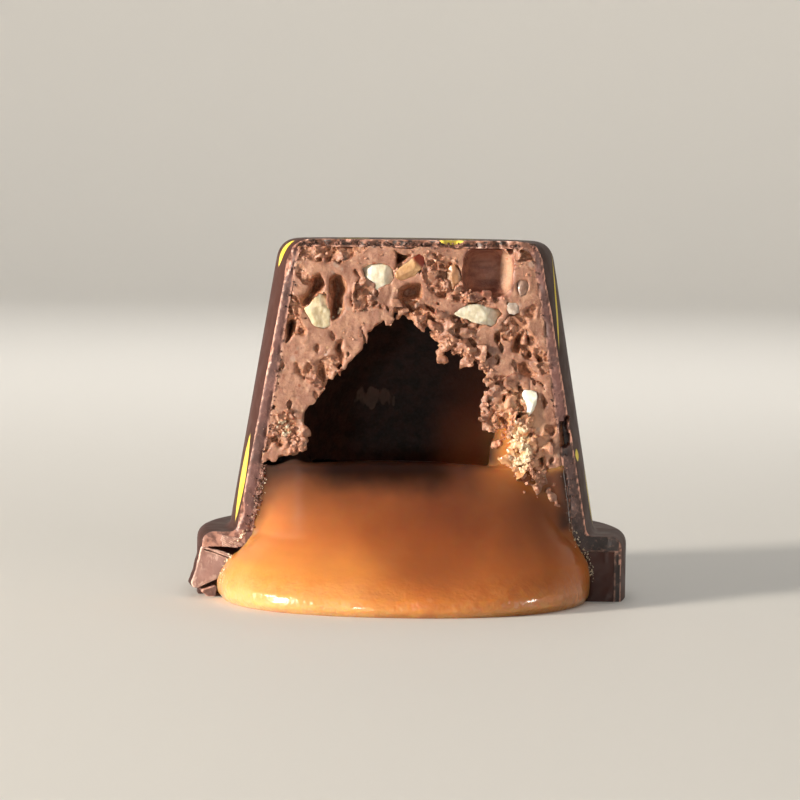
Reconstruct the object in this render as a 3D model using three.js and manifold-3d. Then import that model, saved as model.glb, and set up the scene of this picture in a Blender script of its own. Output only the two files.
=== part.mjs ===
// A tall moulded chocolate, cut open upright beside its middle and standing on its base.
// The dark shell is a cone with a brim. A chopped-nut praline lines it under a hollow, and the
// runny caramel has left that hollow and flowed forward out of the cut.
// Millimetres, +Z up, the cut faces -Y, and the origin is on the cone's axis in the base's plane.
import * as THREE from "three";
import { mergeVertices } from "three/addons/utils/BufferGeometryUtils.js";
import Module from "manifold-3d";

const wasm = await Module();
wasm.setup();

// ---- Driving dimensions ----
const HEIGHT = 26.3;
const TOP_RADIUS = 10.05; // where the cone's straight side would meet the top
const NECK_RADIUS = 13.6; // where it would meet the brim
const BRIM_RADIUS = 16;
const BRIM_HEIGHT = 4.8;
const TOP_ROUND = 1.5;
const BRIM_ROUND = 0.9;
const NECK_ROUND = 0.5;
const WALL_LOW = 1.05; // the shell's wall at the brim
const WALL_HIGH = 0.5; // and at the top, with an even taper between them
const TOP_WALL = 0.55;
const BRIM_LAYER = 1.1; // the shell's thickness over the brim's block
const BRIM_SKIN = 0.45; // and down its side
const BASE_PLATE = 2.0;
const BASE_RING_INSIDE = 12.6;
const CUT_Y = -4.6;
const GAP = 0.3; // clearance between neighbouring pieces
const CARAMEL_LEVEL = 9.7;
const DRAFT = (NECK_RADIUS - TOP_RADIUS) / (HEIGHT - BRIM_HEIGHT);
const THINNING = (WALL_LOW - WALL_HIGH) / (HEIGHT - BRIM_HEIGHT);

const TURN_STEPS = 56; // facets round the shell
const INNER_STEPS = 40; // and round what it holds

// The hollow's outline in the plane of the cut, [x, z], from the left wall over the top to the right.
const OPENING = [
  [-11.2, 9.9], [-8.3, 10.7], [-7.9, 12.2], [-7.6, 13.7], [-6.3, 15.1], [-5.2, 16.4], [-3.9, 18.2],
  [-3.2, 19.3], [-2.1, 20.1], [-1.2, 20.9], [-0.2, 20.1], [1.1, 19.1], [3.0, 17.7], [4.3, 17.5],
  [5.4, 16.8], [5.8, 15.0], [6.3, 12.7], [6.1, 9.9], [7.6, 8.5], [8.8, 7.6], [11.6, 6.5],
  [11.6, 4.0], [-11.2, 4.0],
];
const OPENING_DEPTH = 3.4; // how far that outline runs back before the round hollow takes over
const HOLLOW_AXIS = [-0.9, 0.9];
const HOLLOW = [[0, 3], [8, 3], [8, 11], [7.5, 14], [6.5, 17], [4.9, 20], [2.8, 22], [0, 22.9]]; // [radius, z]
const PRALINE_FOOT = { z: 8.2, slope: -0.15 }; // its lower rim falls from left to right

// Holes torn in the praline's cut face: [x, z, half width, half height, depth, tilt in degrees].
const PITS = [
  [-8.9, 19.8, 0.45, 0.95, 1.8, -12], [-7.1, 22.7, 0.75, 1.15, 1.8, -20], [-5.7, 22.2, 0.75, 1.35, 1.5, 10],
  [-5.4, 17.9, 0.35, 0.9, 1.2, 8], [-6.7, 16.6, 0.4, 0.55, 1.0, 0], [-8.4, 16.5, 0.35, 0.35, 0.8, 0],
  [-6.2, 24.5, 0.3, 0.28, 0.8, 0], [5.35, 23.85, 1.75, 1.75, 1.7, 0], [-0.4, 22.4, 0.8, 0.7, 1.2, 0],
  [2.1, 22.2, 0.55, 0.28, 1.0, 0], [7.5, 19.0, 0.3, 0.75, 1.2, -10], [8.4, 18.5, 0.25, 0.9, 1.2, 5],
  [8.2, 16.9, 0.7, 0.45, 1.0, -30], [9.4, 15.0, 0.22, 0.45, 0.8, -20],
];

// Nut pieces that show at the cut: [x, z, half width, half height, half depth, tilt in degrees].
const NUTS = [
  [-7.0, 21.0, 1.0, 1.35, 0.9, -18], [-2.8, 23.5, 1.3, 0.8, 0.8, -12], [4.7, 21.0, 1.8, 0.8, 0.9, -6],
  [8.6, 14.5, 0.5, 1.05, 0.6, 24], [-0.5, 24.1, 1.05, 0.55, 0.6, -40], [7.8, 22.95, 0.48, 0.62, 0.5, 0],
  [7.1, 21.4, 0.5, 0.5, 0.45, 0], [2.85, 23.65, 0.6, 0.95, 0.5, 8],
];

// Lumps of praline that stand out at the crumbly right edge: [x, z, radius].
const LUMPS = [
  [5.6, 14.6, 0.65], [5.1, 14.1, 0.45], [5.7, 13.4, 0.6], [6.6, 12.3, 0.6], [6.9, 11.2, 0.55], [7.2, 10.2, 0.6],
  [7.9, 9.3, 0.65], [8.9, 8.7, 0.6], [9.4, 11.4, 0.7], [8.3, 12.2, 0.6], [3.2, 18.6, 0.7], [2.2, 19.3, 0.6],
  [4.3, 18.1, 0.6], [-7.9, 11.6, 0.5], [-8.6, 12.4, 0.55], [-7.5, 14.3, 0.5],
];

// The flow in front of the cut at each height: [z, forward reach, left half width, right half width].
const FLOW = [
  [0, 9.7, 14.1, 12.9], [0.6, 10.1, 14.45, 13.2], [1.4, 9.8, 14.45, 13.25], [2.6, 8.6, 13.9, 13.1],
  [3.6, 7.4, 13.0, 12.6], [4.7, 6.1, 11.5, 11.6], [6.2, 4.5, 10.9, 10.9], [7.8, 2.7, 10.5, 9.6],
  [8.9, 1.3, 10.0, 8.4], [9.6, 0.45, 9.4, 7.6],
];
const FLOW_BACK = 0.45; // clearance from the plane of the cut
const FLOW_JOIN = 0.4; // how far the caramel inside reaches into the flow

// The brim's broken corner at the left of the cut.
const CORNER = { x: -11.7, back: -2.6, top: BRIM_HEIGHT - BRIM_LAYER - GAP, hinge: [-15.1, 3.5], turn: 16 };

// ---- Small tools ----
const degrees = (angle) => (angle * Math.PI) / 180;

function latticeValue(x, y) {
  const wave = Math.sin(x * 127.1 + y * 311.7) * 43758.5453;
  return 2 * (wave - Math.floor(wave)) - 1;
}

// Smooth noise from -1 to 1.
function noise(x, y) {
  const [column, row] = [Math.floor(x), Math.floor(y)];
  const ease = (t) => t * t * (3 - 2 * t);
  const [u, v] = [ease(x - column), ease(y - row)];
  const near = THREE.MathUtils.lerp(latticeValue(column, row), latticeValue(column + 1, row), u);
  const far = THREE.MathUtils.lerp(latticeValue(column, row + 1), latticeValue(column + 1, row + 1), u);
  return THREE.MathUtils.lerp(near, far, v);
}

// A closed geometry as a manifold-3d solid.
function solid(geometry) {
  const bare = geometry.clone();
  bare.deleteAttribute("normal");
  bare.deleteAttribute("uv");
  const merged = mergeVertices(bare, 1e-4);
  const corners = merged.index.array;
  const kept = [];
  for (let i = 0; i < corners.length; i += 3) {
    const [a, b, c] = [corners[i], corners[i + 1], corners[i + 2]];
    if (a !== b && b !== c && c !== a) kept.push(a, b, c);
  }
  return new wasm.Manifold(
    new wasm.Mesh({
      numProp: 3,
      vertProperties: new Float32Array(merged.attributes.position.array),
      triVerts: new Uint32Array(kept),
    }),
  );
}

function geometryOf(manifold) {
  const mesh = manifold.getMesh();
  const geometry = new THREE.BufferGeometry();
  geometry.setAttribute("position", new THREE.BufferAttribute(new Float32Array(mesh.vertProperties), 3));
  geometry.setIndex(new THREE.BufferAttribute(new Uint32Array(mesh.triVerts), 1));
  geometry.computeVertexNormals();
  return geometry;
}

const addAll = (first, others) => others.reduce((sum, next) => sum.add(next), first);
const cutAll = (first, others) => others.reduce((rest, next) => rest.subtract(next), first);

// A solid of revolution round +Z from [radius, z] points that start and end on the axis.
function turned(points, steps, [x, y] = [0, 0]) {
  const profile = points.map(([radius, z]) => new THREE.Vector2(radius, z));
  return solid(new THREE.LatheGeometry(profile, steps).rotateX(Math.PI / 2).translate(x, y, 0));
}

// An outline of [x, z] points, extruded from y = front back to y = back.
function upright(outline, front, back) {
  const shape = new THREE.Shape(outline.map(([x, z]) => new THREE.Vector2(x, z)));
  const geometry = new THREE.ExtrudeGeometry(shape, { depth: back - front, bevelEnabled: false });
  return solid(geometry.rotateX(Math.PI / 2).translate(0, back, 0));
}

function block([x0, y0, z0], [x1, y1, z1]) {
  const geometry = new THREE.BoxGeometry(x1 - x0, y1 - y0, z1 - z0);
  return solid(geometry.translate((x0 + x1) / 2, (y0 + y1) / 2, (z0 + z1) / 2));
}

// What the knife took away: everything in front of the cut, with relief on its face.
function knife(cell, relief) {
  const [half, bottom, top, depth] = [18, -2, 29, 16];
  const [across, up] = [Math.round((2 * half) / cell), Math.round((top - bottom) / cell)];
  const geometry = new THREE.BoxGeometry(2 * half, depth, top - bottom, across, 1, up);
  geometry.translate(0, CUT_Y - depth / 2, (bottom + top) / 2);
  const place = geometry.attributes.position;
  for (let i = 0; i < place.count; i += 1) {
    if (place.getY(i) > CUT_Y - depth / 2) place.setY(i, CUT_Y + relief(place.getX(i), place.getZ(i)));
  }
  return solid(geometry);
}

// An uneven lump with flat-sided facets, such as a chopped nut.
function lump([x, z, halfWidth, halfHeight, halfDepth, tilt], y, uneven, detail) {
  const geometry = mergeVertices(bareIcosahedron(detail));
  const place = geometry.attributes.position;
  for (let i = 0; i < place.count; i += 1) {
    const push = 1 + uneven * latticeValue(i + x * 3, z);
    place.setXYZ(i, place.getX(i) * push, place.getY(i) * push, place.getZ(i) * push);
  }
  geometry.scale(halfWidth, halfDepth, halfHeight);
  return solid(geometry.rotateY(degrees(tilt)).translate(x, y, z));
}

function bareIcosahedron(detail) {
  const geometry = new THREE.IcosahedronGeometry(1, detail);
  geometry.deleteAttribute("normal");
  geometry.deleteAttribute("uv");
  return geometry;
}

// ---- The shell's profiles ----
const coneRadius = (z) => NECK_RADIUS - DRAFT * (z - BRIM_HEIGHT);

function outsideProfile() {
  const path = new THREE.Path();
  path.moveTo(0, 0);
  path.lineTo(BRIM_RADIUS, 0);
  path.lineTo(BRIM_RADIUS, BRIM_HEIGHT - BRIM_ROUND);
  path.quadraticCurveTo(BRIM_RADIUS, BRIM_HEIGHT, BRIM_RADIUS - BRIM_ROUND, BRIM_HEIGHT);
  path.lineTo(NECK_RADIUS + NECK_ROUND, BRIM_HEIGHT);
  path.quadraticCurveTo(NECK_RADIUS, BRIM_HEIGHT, coneRadius(BRIM_HEIGHT + NECK_ROUND), BRIM_HEIGHT + NECK_ROUND);
  path.lineTo(coneRadius(HEIGHT - TOP_ROUND), HEIGHT - TOP_ROUND);
  path.quadraticCurveTo(TOP_RADIUS, HEIGHT, TOP_RADIUS - TOP_ROUND, HEIGHT);
  path.lineTo(0, HEIGHT);
  return path.getPoints(4).map((point) => [point.x, point.y]);
}

// The room inside the cone, drawn in by a clearance.
function insideProfile(clearance, bottom) {
  const wall = (z) => WALL_LOW - THINNING * (z - BRIM_HEIGHT);
  const radius = (z) => coneRadius(z) - wall(z) - clearance;
  const ceiling = HEIGHT - TOP_WALL - clearance;
  return [
    [0, bottom], [radius(bottom), bottom], [radius(ceiling - 1), ceiling - 1],
    [radius(ceiling) - 0.35, ceiling - 0.3], [radius(ceiling) - 1, ceiling], [0, ceiling],
  ];
}

// ---- The pieces ----
const chocolateRelief = (x, z) => 0.09 * noise(x * 1.4, z * 1.4) + 0.05 * noise(x * 3.1 + 7, z * 3.1);
const chocolateKnife = knife(1.0, chocolateRelief);
const cornerBox = block([-18, CUT_Y - 3, -1], [CORNER.x, CORNER.back, CORNER.top]);

function makeShell() {
  const brimRoom = [
    [0, -1], [BRIM_RADIUS - BRIM_SKIN, -1], [BRIM_RADIUS - BRIM_SKIN, BRIM_HEIGHT - BRIM_LAYER],
    [0, BRIM_HEIGHT - BRIM_LAYER],
  ];
  const rooms = [turned(brimRoom, TURN_STEPS), turned(insideProfile(0, 0), INNER_STEPS)];
  return cutAll(turned(outsideProfile(), TURN_STEPS), [...rooms, chocolateKnife, cornerBox]);
}

function baseProfile(radius) {
  const ringTop = BRIM_HEIGHT - BRIM_LAYER - GAP;
  return [
    [0, 0], [radius, 0], [radius, ringTop], [BASE_RING_INSIDE, ringTop],
    [BASE_RING_INSIDE - 1, BASE_PLATE], [0, BASE_PLATE],
  ];
}

function makeBase() {
  return cutAll(turned(baseProfile(BRIM_RADIUS - BRIM_SKIN - GAP), TURN_STEPS), [chocolateKnife, cornerBox]);
}

// The corner that broke off, turned outwards about the brim's edge, with its lower side sheared away.
function makeCorner() {
  const room = block([-18, CUT_Y - 3, -1], [CORNER.x - GAP, CORNER.back - 2 * GAP, 9]);
  const piece = turned(baseProfile(BRIM_RADIUS), TURN_STEPS).intersect(room).subtract(chocolateKnife);
  const [hingeX, hingeZ] = CORNER.hinge;
  const geometry = geometryOf(piece).translate(-hingeX, 0, -hingeZ);
  geometry.rotateY(degrees(CORNER.turn)).translate(hingeX - 0.1, 0, hingeZ - 0.22);
  const sheared = upright([[-18, -2], [-18, 0], [-15.9, 0], [-14.2, 1.2], [-12.6, 1.7], [-11, -2]], -9, 3);
  return solid(geometry).subtract(sheared);
}

function makeSplinter() {
  return upright([[-15.2, 0], [-14.1, 0], [-13.9, 0.75], [-14.4, 0.62]], CUT_Y + 0.25, CORNER.back - GAP);
}

const nutBodies = (clearance) =>
  NUTS.map(([x, z, width, height, depth, tilt]) =>
    lump([x, z, width + clearance, height + clearance, depth + clearance, tilt], CUT_Y + depth * 0.55, 0.12, 1),
  );

const crags = (clearance) =>
  LUMPS.map(([x, z, radius]) => {
    const wide = radius + clearance;
    return lump([x, z, wide, radius * 0.8 + clearance, wide, 0], CUT_Y + radius * 0.75, 0.2, 1);
  });

// A closed outline that runs clockwise, with each of its sides moved inwards.
function inset(outline, distance) {
  return outline.map(([x, z], i) => {
    const before = outline[(i + outline.length - 1) % outline.length];
    const after = outline[(i + 1) % outline.length];
    const arriving = new THREE.Vector2(z - before[1], before[0] - x).normalize();
    const leaving = new THREE.Vector2(after[1] - z, x - after[0]).normalize();
    const middle = arriving.clone().add(leaving).normalize();
    const reach = distance / Math.max(middle.dot(arriving), 0.5);
    return [x + middle.x * reach, z + middle.y * reach];
  });
}

// The hollow and its opening, drawn in by a clearance.
function hollow(clearance) {
  const round = HOLLOW.map(([radius, z]) => [Math.max(radius - clearance, 0), z]);
  const mouth = upright(inset(OPENING, clearance), CUT_Y - 6, CUT_Y + OPENING_DEPTH - clearance);
  return mouth.add(turned(round, 28, HOLLOW_AXIS));
}

// Everything below the praline's sloping foot.
function belowFoot(clearance) {
  const half = 20;
  const edge = (x) => [x, PRALINE_FOOT.z + PRALINE_FOOT.slope * x - clearance];
  return upright([[-half, -4], [half, -4], edge(half), edge(-half)], -half, half);
}

function pralineRelief(x, z) {
  const crumbly = THREE.MathUtils.smoothstep(x - 0.35 * (z - 14), -1, 6);
  const broad = 0.14 * noise(x * 0.7 + 3, z * 0.7);
  const torn = 0.3 * THREE.MathUtils.smoothstep(noise(x * 0.9 + 11, z * 0.9 - 4), 0.1, 0.35);
  const rough = (0.08 + 0.3 * crumbly) * noise(x * 1.9, z * 1.9 + 5);
  return Math.max(-0.12, 0.02 + 0.08 * crumbly + broad + torn + rough);
}

function makePraline() {
  const pits = PITS.map(([x, z, width, height, depth, tilt]) =>
    lump([x, z, width, height, depth, tilt], CUT_Y, 0.1, 1),
  );
  const body = turned(insideProfile(GAP, PRALINE_FOOT.z - 4), INNER_STEPS);
  const cut = cutAll(body, [knife(0.55, pralineRelief), hollow(0), belowFoot(0), ...pits]);
  return cutAll(addAll(cut, crags(0)), nutBodies(GAP));
}

// One level ring of the flow: a rounded front edge with a straight back.
function flowRing([z, reach, left, right], steps) {
  const ring = [];
  for (let i = 0; i <= steps; i += 1) {
    const angle = (Math.PI * i) / steps;
    const [half, power] = angle > Math.PI / 2 ? [left, 2.4] : [right, 2.0];
    const across = Math.sign(Math.cos(angle)) * half * Math.abs(Math.cos(angle)) ** (2 / power);
    const forward = FLOW_BACK + reach * Math.sin(angle) ** (2 / power);
    ring.push(new THREE.Vector3(across, CUT_Y - forward, z));
  }
  return ring;
}

// A closed skin over level rings that all have the same number of points.
function lofted(rings) {
  const points = rings.flat();
  const count = rings[0].length;
  const corners = [];
  for (let level = 0; level + 1 < rings.length; level += 1) {
    for (let i = 0; i < count; i += 1) {
      const [a, b] = [level * count + i, level * count + ((i + 1) % count)];
      corners.push(a, a + count, b, b, a + count, b + count);
    }
  }
  const top = (rings.length - 1) * count;
  for (let i = 1; i + 1 < count; i += 1) corners.push(0, i, i + 1, top, top + i + 1, top + i);
  return solid(new THREE.BufferGeometry().setFromPoints(points).setIndex(corners));
}

function makeCaramel() {
  const flow = lofted(FLOW.map((row) => flowRing(row, 36)));
  const front = CUT_Y - FLOW_BACK - FLOW_JOIN;
  const room = block([-20, front, 0], [20, 20, CARAMEL_LEVEL]);
  const inside = turned(insideProfile(GAP, BASE_PLATE + GAP), INNER_STEPS);
  const ring = turned(baseProfile(BRIM_RADIUS).map(([radius, z]) => [radius, z + (z > 0 ? GAP : 0)]), TURN_STEPS);
  const low = inside.intersect(belowFoot(GAP));
  const high = inside.intersect(hollow(GAP)).intersect(room);
  return cutAll(low.add(high).subtract(ring).intersect(room).add(flow), crags(GAP));
}

// ---- The object ----
const DARK_CHOCOLATE = { color: 0x2c1710, roughness: 0.28, metalness: 0 };
const CUT_CHOCOLATE = { color: 0x4a2a22, roughness: 0.5, metalness: 0 };
const PRALINE = { color: 0xa87052, roughness: 0.6, metalness: 0 };
const CARAMEL = { color: 0xc8702c, roughness: 0.12, metalness: 0 };
const NUT = { color: 0xe6d8b4, roughness: 0.4, metalness: 0 };

const chocolate = new THREE.Group();

function place(name, body, look) {
  const mesh = new THREE.Mesh(geometryOf(body), new THREE.MeshStandardMaterial(look));
  mesh.name = name;
  chocolate.add(mesh);
}

place("shell", makeShell(), DARK_CHOCOLATE);
place("base", makeBase(), CUT_CHOCOLATE);
place("brim_corner", makeCorner(), CUT_CHOCOLATE);
place("brim_splinter", makeSplinter(), CUT_CHOCOLATE);
place("praline", makePraline(), PRALINE);
place("caramel", makeCaramel(), CARAMEL);
nutBodies(0).forEach((body, i) => place(`nut_${i + 1}`, body, NUT));

export default chocolate;
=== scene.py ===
"""A moulded chocolate cut open upright, with its praline, nuts and running caramel.

Shapes are worked out in millimetres, and meshes hold metres."""
import functools
import math
import bpy
import numpy as np
from mathutils import Matrix, Vector
from mathutils.bvhtree import BVHTree


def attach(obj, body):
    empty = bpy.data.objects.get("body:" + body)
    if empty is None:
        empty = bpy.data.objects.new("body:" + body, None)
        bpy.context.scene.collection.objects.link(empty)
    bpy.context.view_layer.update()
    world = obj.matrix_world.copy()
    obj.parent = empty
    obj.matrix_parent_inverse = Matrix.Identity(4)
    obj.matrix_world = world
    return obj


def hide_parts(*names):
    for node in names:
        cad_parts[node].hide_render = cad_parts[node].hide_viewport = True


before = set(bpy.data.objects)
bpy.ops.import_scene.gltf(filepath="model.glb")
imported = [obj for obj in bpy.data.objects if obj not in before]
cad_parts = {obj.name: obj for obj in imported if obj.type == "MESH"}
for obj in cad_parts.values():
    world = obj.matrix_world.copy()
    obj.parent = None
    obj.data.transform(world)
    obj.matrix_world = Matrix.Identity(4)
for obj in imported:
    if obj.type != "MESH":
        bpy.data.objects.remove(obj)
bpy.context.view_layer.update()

MM = 0.001
PER_METRE = 1000.0

# ---- Sizes, in millimetres, as in the solids ----
HEIGHT = 26.3
TOP_RADIUS = 10.05
NECK_RADIUS = 13.6
BRIM_RADIUS = 16.0
BRIM_HEIGHT = 4.8
TOP_ROUND = 1.5
BRIM_ROUND = 0.9
NECK_ROUND = 0.5
WALL_LOW = 1.05
WALL_HIGH = 0.5
TOP_WALL = 0.55
BRIM_LAYER = 1.1
BRIM_SKIN = 0.45
BASE_PLATE = 2.0
BASE_RING_INSIDE = 12.6
CUT_Y = -4.6
CARAMEL_LEVEL = 9.7
DRAFT = (NECK_RADIUS - TOP_RADIUS) / (HEIGHT - BRIM_HEIGHT)
THINNING = (WALL_LOW - WALL_HIGH) / (HEIGHT - BRIM_HEIGHT)

# The hollow's outline at the cut, [x, z], from the left wall over the top to the right.
OPENING = [
    (-11.6, 9.6), (-10.0, 10.25), (-8.35, 10.6), (-7.95, 11.7), (-7.75, 13.6), (-6.3, 15.1), (-5.24, 16.43),
    (-3.98, 18.2), (-3.35, 19.25), (-2.1, 20.1), (-1.26, 20.8), (-0.18, 20.1), (1.1, 19.1), (3.05, 17.75),
    (4.34, 17.6), (5.4, 16.8), (5.76, 15.1), (6.1, 13.5), (7.0, 12.8), (7.3, 11.4), (7.3, 9.8),
    (7.9, 8.5), (8.8, 7.6), (11.8, 6.3), (11.8, 2.0), (-11.6, 2.0),
]
OPENING_DEPTH = 3.4  # how far back the opening goes before the round hollow takes over
HOLLOW_AXIS = (-0.9, 0.9)
HOLLOW_TOP = 22.9
HOLLOW_PROFILE = (  # (z, radius)
    (3, 8.0), (11, 8.0), (14, 7.5), (17, 6.5), (20, 4.9), (22, 2.8), (HOLLOW_TOP, 0.0))

# Torn holes with a drawn outline: (depth, how fast they close in, outline).
TORN = [
    (2.1, 0.25, [(-7.51, 23.51), (-6.92, 23.75), (-6.5, 23.0), (-6.75, 22.5), (-7.2, 22.2), (-7.64, 21.6),
                 (-8.2, 21.2), (-8.31, 21.94), (-7.87, 22.39)]),
    (1.9, 0.25, [(-6.36, 23.4), (-5.88, 23.83), (-5.43, 23.62), (-5.05, 23.18), (-4.97, 22.58), (-5.2, 22.0),
                 (-5.1, 21.3), (-5.5, 20.5), (-6.1, 20.3), (-6.3, 21.3), (-6.3, 22.3)]),
    (2.3, 0.2, [(-9.29, 20.29), (-8.89, 20.55), (-8.62, 20.3), (-8.73, 19.62), (-9.0, 18.9), (-9.42, 18.5),
                (-9.45, 19.91)]),
    (1.0, 0.3, [(-5.66, 18.77), (-5.22, 18.93), (-5.28, 18.4), (-5.13, 17.81), (-5.27, 17.2), (-5.65, 17.8),
                (-5.84, 18.32)]),
    (0.9, 0.5, [(-7.13, 17.11), (-6.46, 17.27), (-6.38, 16.6), (-6.37, 16.01), (-6.66, 15.6),
                (-7.12, 16.37)]),
    (0.9, 0.3, [(-8.54, 17.17), (-8.24, 16.73), (-7.8, 16.2), (-8.31, 16.3), (-8.7, 16.5)]),
    (0.9, 0.3, [(-7.24, 18.55), (-7.0, 18.65), (-6.9, 18.3), (-7.07, 18.1), (-7.28, 18.28)]),
    (0.9, 0.3, [(-6.6, 25.0), (-6.1, 25.02), (-6.15, 24.7), (-6.49, 24.55)]),
    (1.9, 0.15, [(-1.5, 25.5), (-0.35, 25.15), (-1.0, 24.5), (-1.49, 24.1), (-1.6, 24.8)]),
    (1.5, 0.2, [(-1.25, 22.7), (-0.5, 23.09), (0.32, 23.1), (0.45, 22.1), (-0.49, 21.8), (-1.2, 21.95)]),
    (1.1, 0.3, [(1.46, 22.37), (2.13, 22.53), (2.66, 22.46), (2.29, 22.1), (1.77, 22.05)]),
    (1.0, 0.3, [(5.82, 19.6), (6.19, 19.68), (6.35, 19.08), (6.06, 18.6), (5.83, 19.15)]),
    (1.3, 0.25, [(7.24, 19.17), (7.76, 19.92), (7.9, 19.33), (7.6, 18.3), (7.2, 18.4)]),
    (1.2, 0.25, [(8.13, 19.48), (8.43, 19.63), (8.58, 17.85), (8.2, 17.8)]),
    (1.0, 0.4, [(7.49, 17.38), (8.09, 17.5), (9.0, 16.6), (8.5, 16.4), (7.75, 16.8)]),
    (0.7, 0.4, [(9.25, 15.5), (9.5, 15.4), (9.75, 14.5), (9.55, 14.2), (9.3, 14.9)]),
    (0.8, 0.4, [(9.9, 11.9), (10.3, 11.95), (10.2, 11.4), (9.9, 11.5)]),
]
# Thin cracks: (half width, depth, line).
CRACKS = [
    (0.10, 0.9, [(-1.1, 22.04), (0.43, 21.68), (1.18, 21.32), (2.08, 20.81), (2.9, 20.5)]),
    (0.07, 0.7, [(4.12, 18.75), (4.8, 18.39), (5.7, 17.88), (6.22, 17.67), (6.08, 17.37)]),
    (0.05, 0.5, [(-4.4, 24.0), (-4.0, 23.5), (-4.35, 22.9)]),
    (0.05, 0.5, [(-3.9, 19.9), (-3.6, 19.0), (-3.7, 18.4)]),
    (0.06, 0.5, [(6.6, 19.9), (6.4, 20.4), (6.9, 20.9)]),
    (0.06, 0.5, [(8.6, 16.3), (9.4, 15.9), (9.6, 15.4)]),
]
SCOOP = ((5.35, 24.0), (1.95, 1.95), 2.2)  # the smooth bed that a nut fell out of: centre, half sizes, depth
PORES = 130  # small pits that aren't drawn one by one

# Where the cut face is set back and crumbly: (set back, roughness, crumbs for each square mm, outline).
TORN_FIELDS = [
    (0.45, 0.26, 2.4, [(-1.5, 22.1), (0.4, 21.75), (1.2, 21.35), (2.1, 20.85), (3.2, 20.5), (4.4, 20.2),
                       (4.6, 18.9), (5.8, 17.7), (5.2, 16.4), (2.6, 17.2), (0.7, 18.8), (-0.5, 19.8),
                       (-1.6, 20.7)]),
    (0.30, 0.34, 7.0, [(5.2, 16.4), (7.4, 16.2), (8.3, 15.7), (8.0, 13.4), (9.0, 12.2), (9.6, 10.0),
                       (10.4, 8.6), (10.9, 6.4), (8.3, 7.0), (7.5, 8.3), (7.4, 9.9), (7.3, 12.4),
                       (5.6, 13.2), (4.9, 14.4)]),
    (0.15, 0.22, 0.9, [(1.0, 25.3), (2.9, 25.1), (3.6, 23.4), (4.2, 22.2), (6.2, 22.0), (5.0, 21.6),
                       (3.0, 22.0), (1.2, 22.5), (0.6, 24.0)]),
    (0.15, 0.20, 1.8, [(-10.4, 13.6), (-9.0, 13.8), (-7.7, 12.4), (-8.2, 10.6), (-9.6, 10.9), (-10.4, 12.3)]),
    (0.25, 0.20, 0.8, [(-4.4, 23.1), (-3.0, 23.0), (-3.3, 21.2), (-4.4, 20.9), (-4.9, 22.0)]),
    (0.10, 0.16, 0.5, [(-8.3, 16.0), (-6.7, 15.3), (-5.6, 16.3), (-5.0, 17.7), (-6.4, 17.5), (-7.6, 17.4)]),
]

# Crumbs in relief at the crumbly edges: (x, z, radius, how far in front of the cut).
CLUMPS = [
    (4.95, 14.25, 0.24, 0.1), (5.25, 14.0, 0.32, 0.15), (5.5, 13.6, 0.42, 0.1), (5.2, 13.3, 0.34, 0.3),
    (5.6, 13.0, 0.36, 0.15), (5.75, 12.6, 0.26, 0.2), (5.35, 12.85, 0.24, 0.3), (6.3, 15.0, 0.55, 0.1),
    (5.9, 13.3, 0.3, 0.2), (5.7, 14.4, 0.3, 0.1), (5.4, 15.1, 0.3, 0.1), (6.7, 13.6, 0.35, 0.1),
    (6.0, 14.3, 0.5, 0.0), (7.0, 14.4, 0.5, 0.1), (7.4, 13.0, 0.6, 0.2), (6.9, 15.9, 0.5, 0.05),
    (8.3, 12.9, 0.45, 0.15), (7.7, 11.7, 0.6, 0.25), (8.5, 11.4, 0.55, 0.2), (9.9, 11.3, 0.5, 0.1),
    (9.6, 12.2, 0.4, 0.1), (8.0, 10.5, 0.6, 0.25), (8.8, 10.2, 0.5, 0.2), (8.5, 9.2, 0.6, 0.25),
    (9.4, 9.0, 0.6, 0.2), (9.1, 8.1, 0.55, 0.2), (10.1, 7.8, 0.5, 0.1), (7.8, 9.4, 0.4, 0.2),
    (7.2, 10.8, 0.26, 0.3), (6.95, 10.5, 0.30, 0.35), (6.6, 10.2, 0.30, 0.4), (6.25, 9.9, 0.26, 0.4),
    (6.05, 9.62, 0.2, 0.4), (7.1, 10.1, 0.26, 0.3), (7.4, 10.3, 0.3, 0.25), (7.5, 9.8, 0.3, 0.3),
    (8.4, 7.8, 0.35, 0.2), (8.9, 7.4, 0.3, 0.2),
    (2.0, 19.4, 0.6, 0.05), (2.9, 19.0, 0.7, 0.15), (3.6, 18.6, 0.6, 0.1), (1.5, 20.0, 0.5, 0.05),
    (2.3, 18.7, 0.5, 0.1), (3.9, 19.4, 0.4, 0.0), (0.6, 20.6, 0.45, -0.1), (4.6, 18.0, 0.45, 0.1),
    (0.2, 20.2, 0.35, 0.0), (5.2, 17.3, 0.4, 0.1), (2.2, 23.0, 0.5, 0.05), (1.5, 23.5, 0.4, 0.05),
    (3.3, 22.7, 0.35, 0.1), (3.9, 22.4, 0.4, 0.15), (4.6, 22.3, 0.4, 0.1), (5.4, 22.2, 0.35, 0.1),
    (-8.6, 11.2, 0.45, 0.1), (-8.1, 11.0, 0.35, 0.1), (-7.95, 11.6, 0.4, 0.0), (-9.3, 11.0, 0.35, 0.1),
]
# Crumbs that stick in the caramel at the right: (x, z, radius).
LOOSE_CRUMBS = [(6.1, 11.35, 0.36), (6.35, 11.5, 0.24), (5.9, 11.2, 0.2)]

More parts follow.
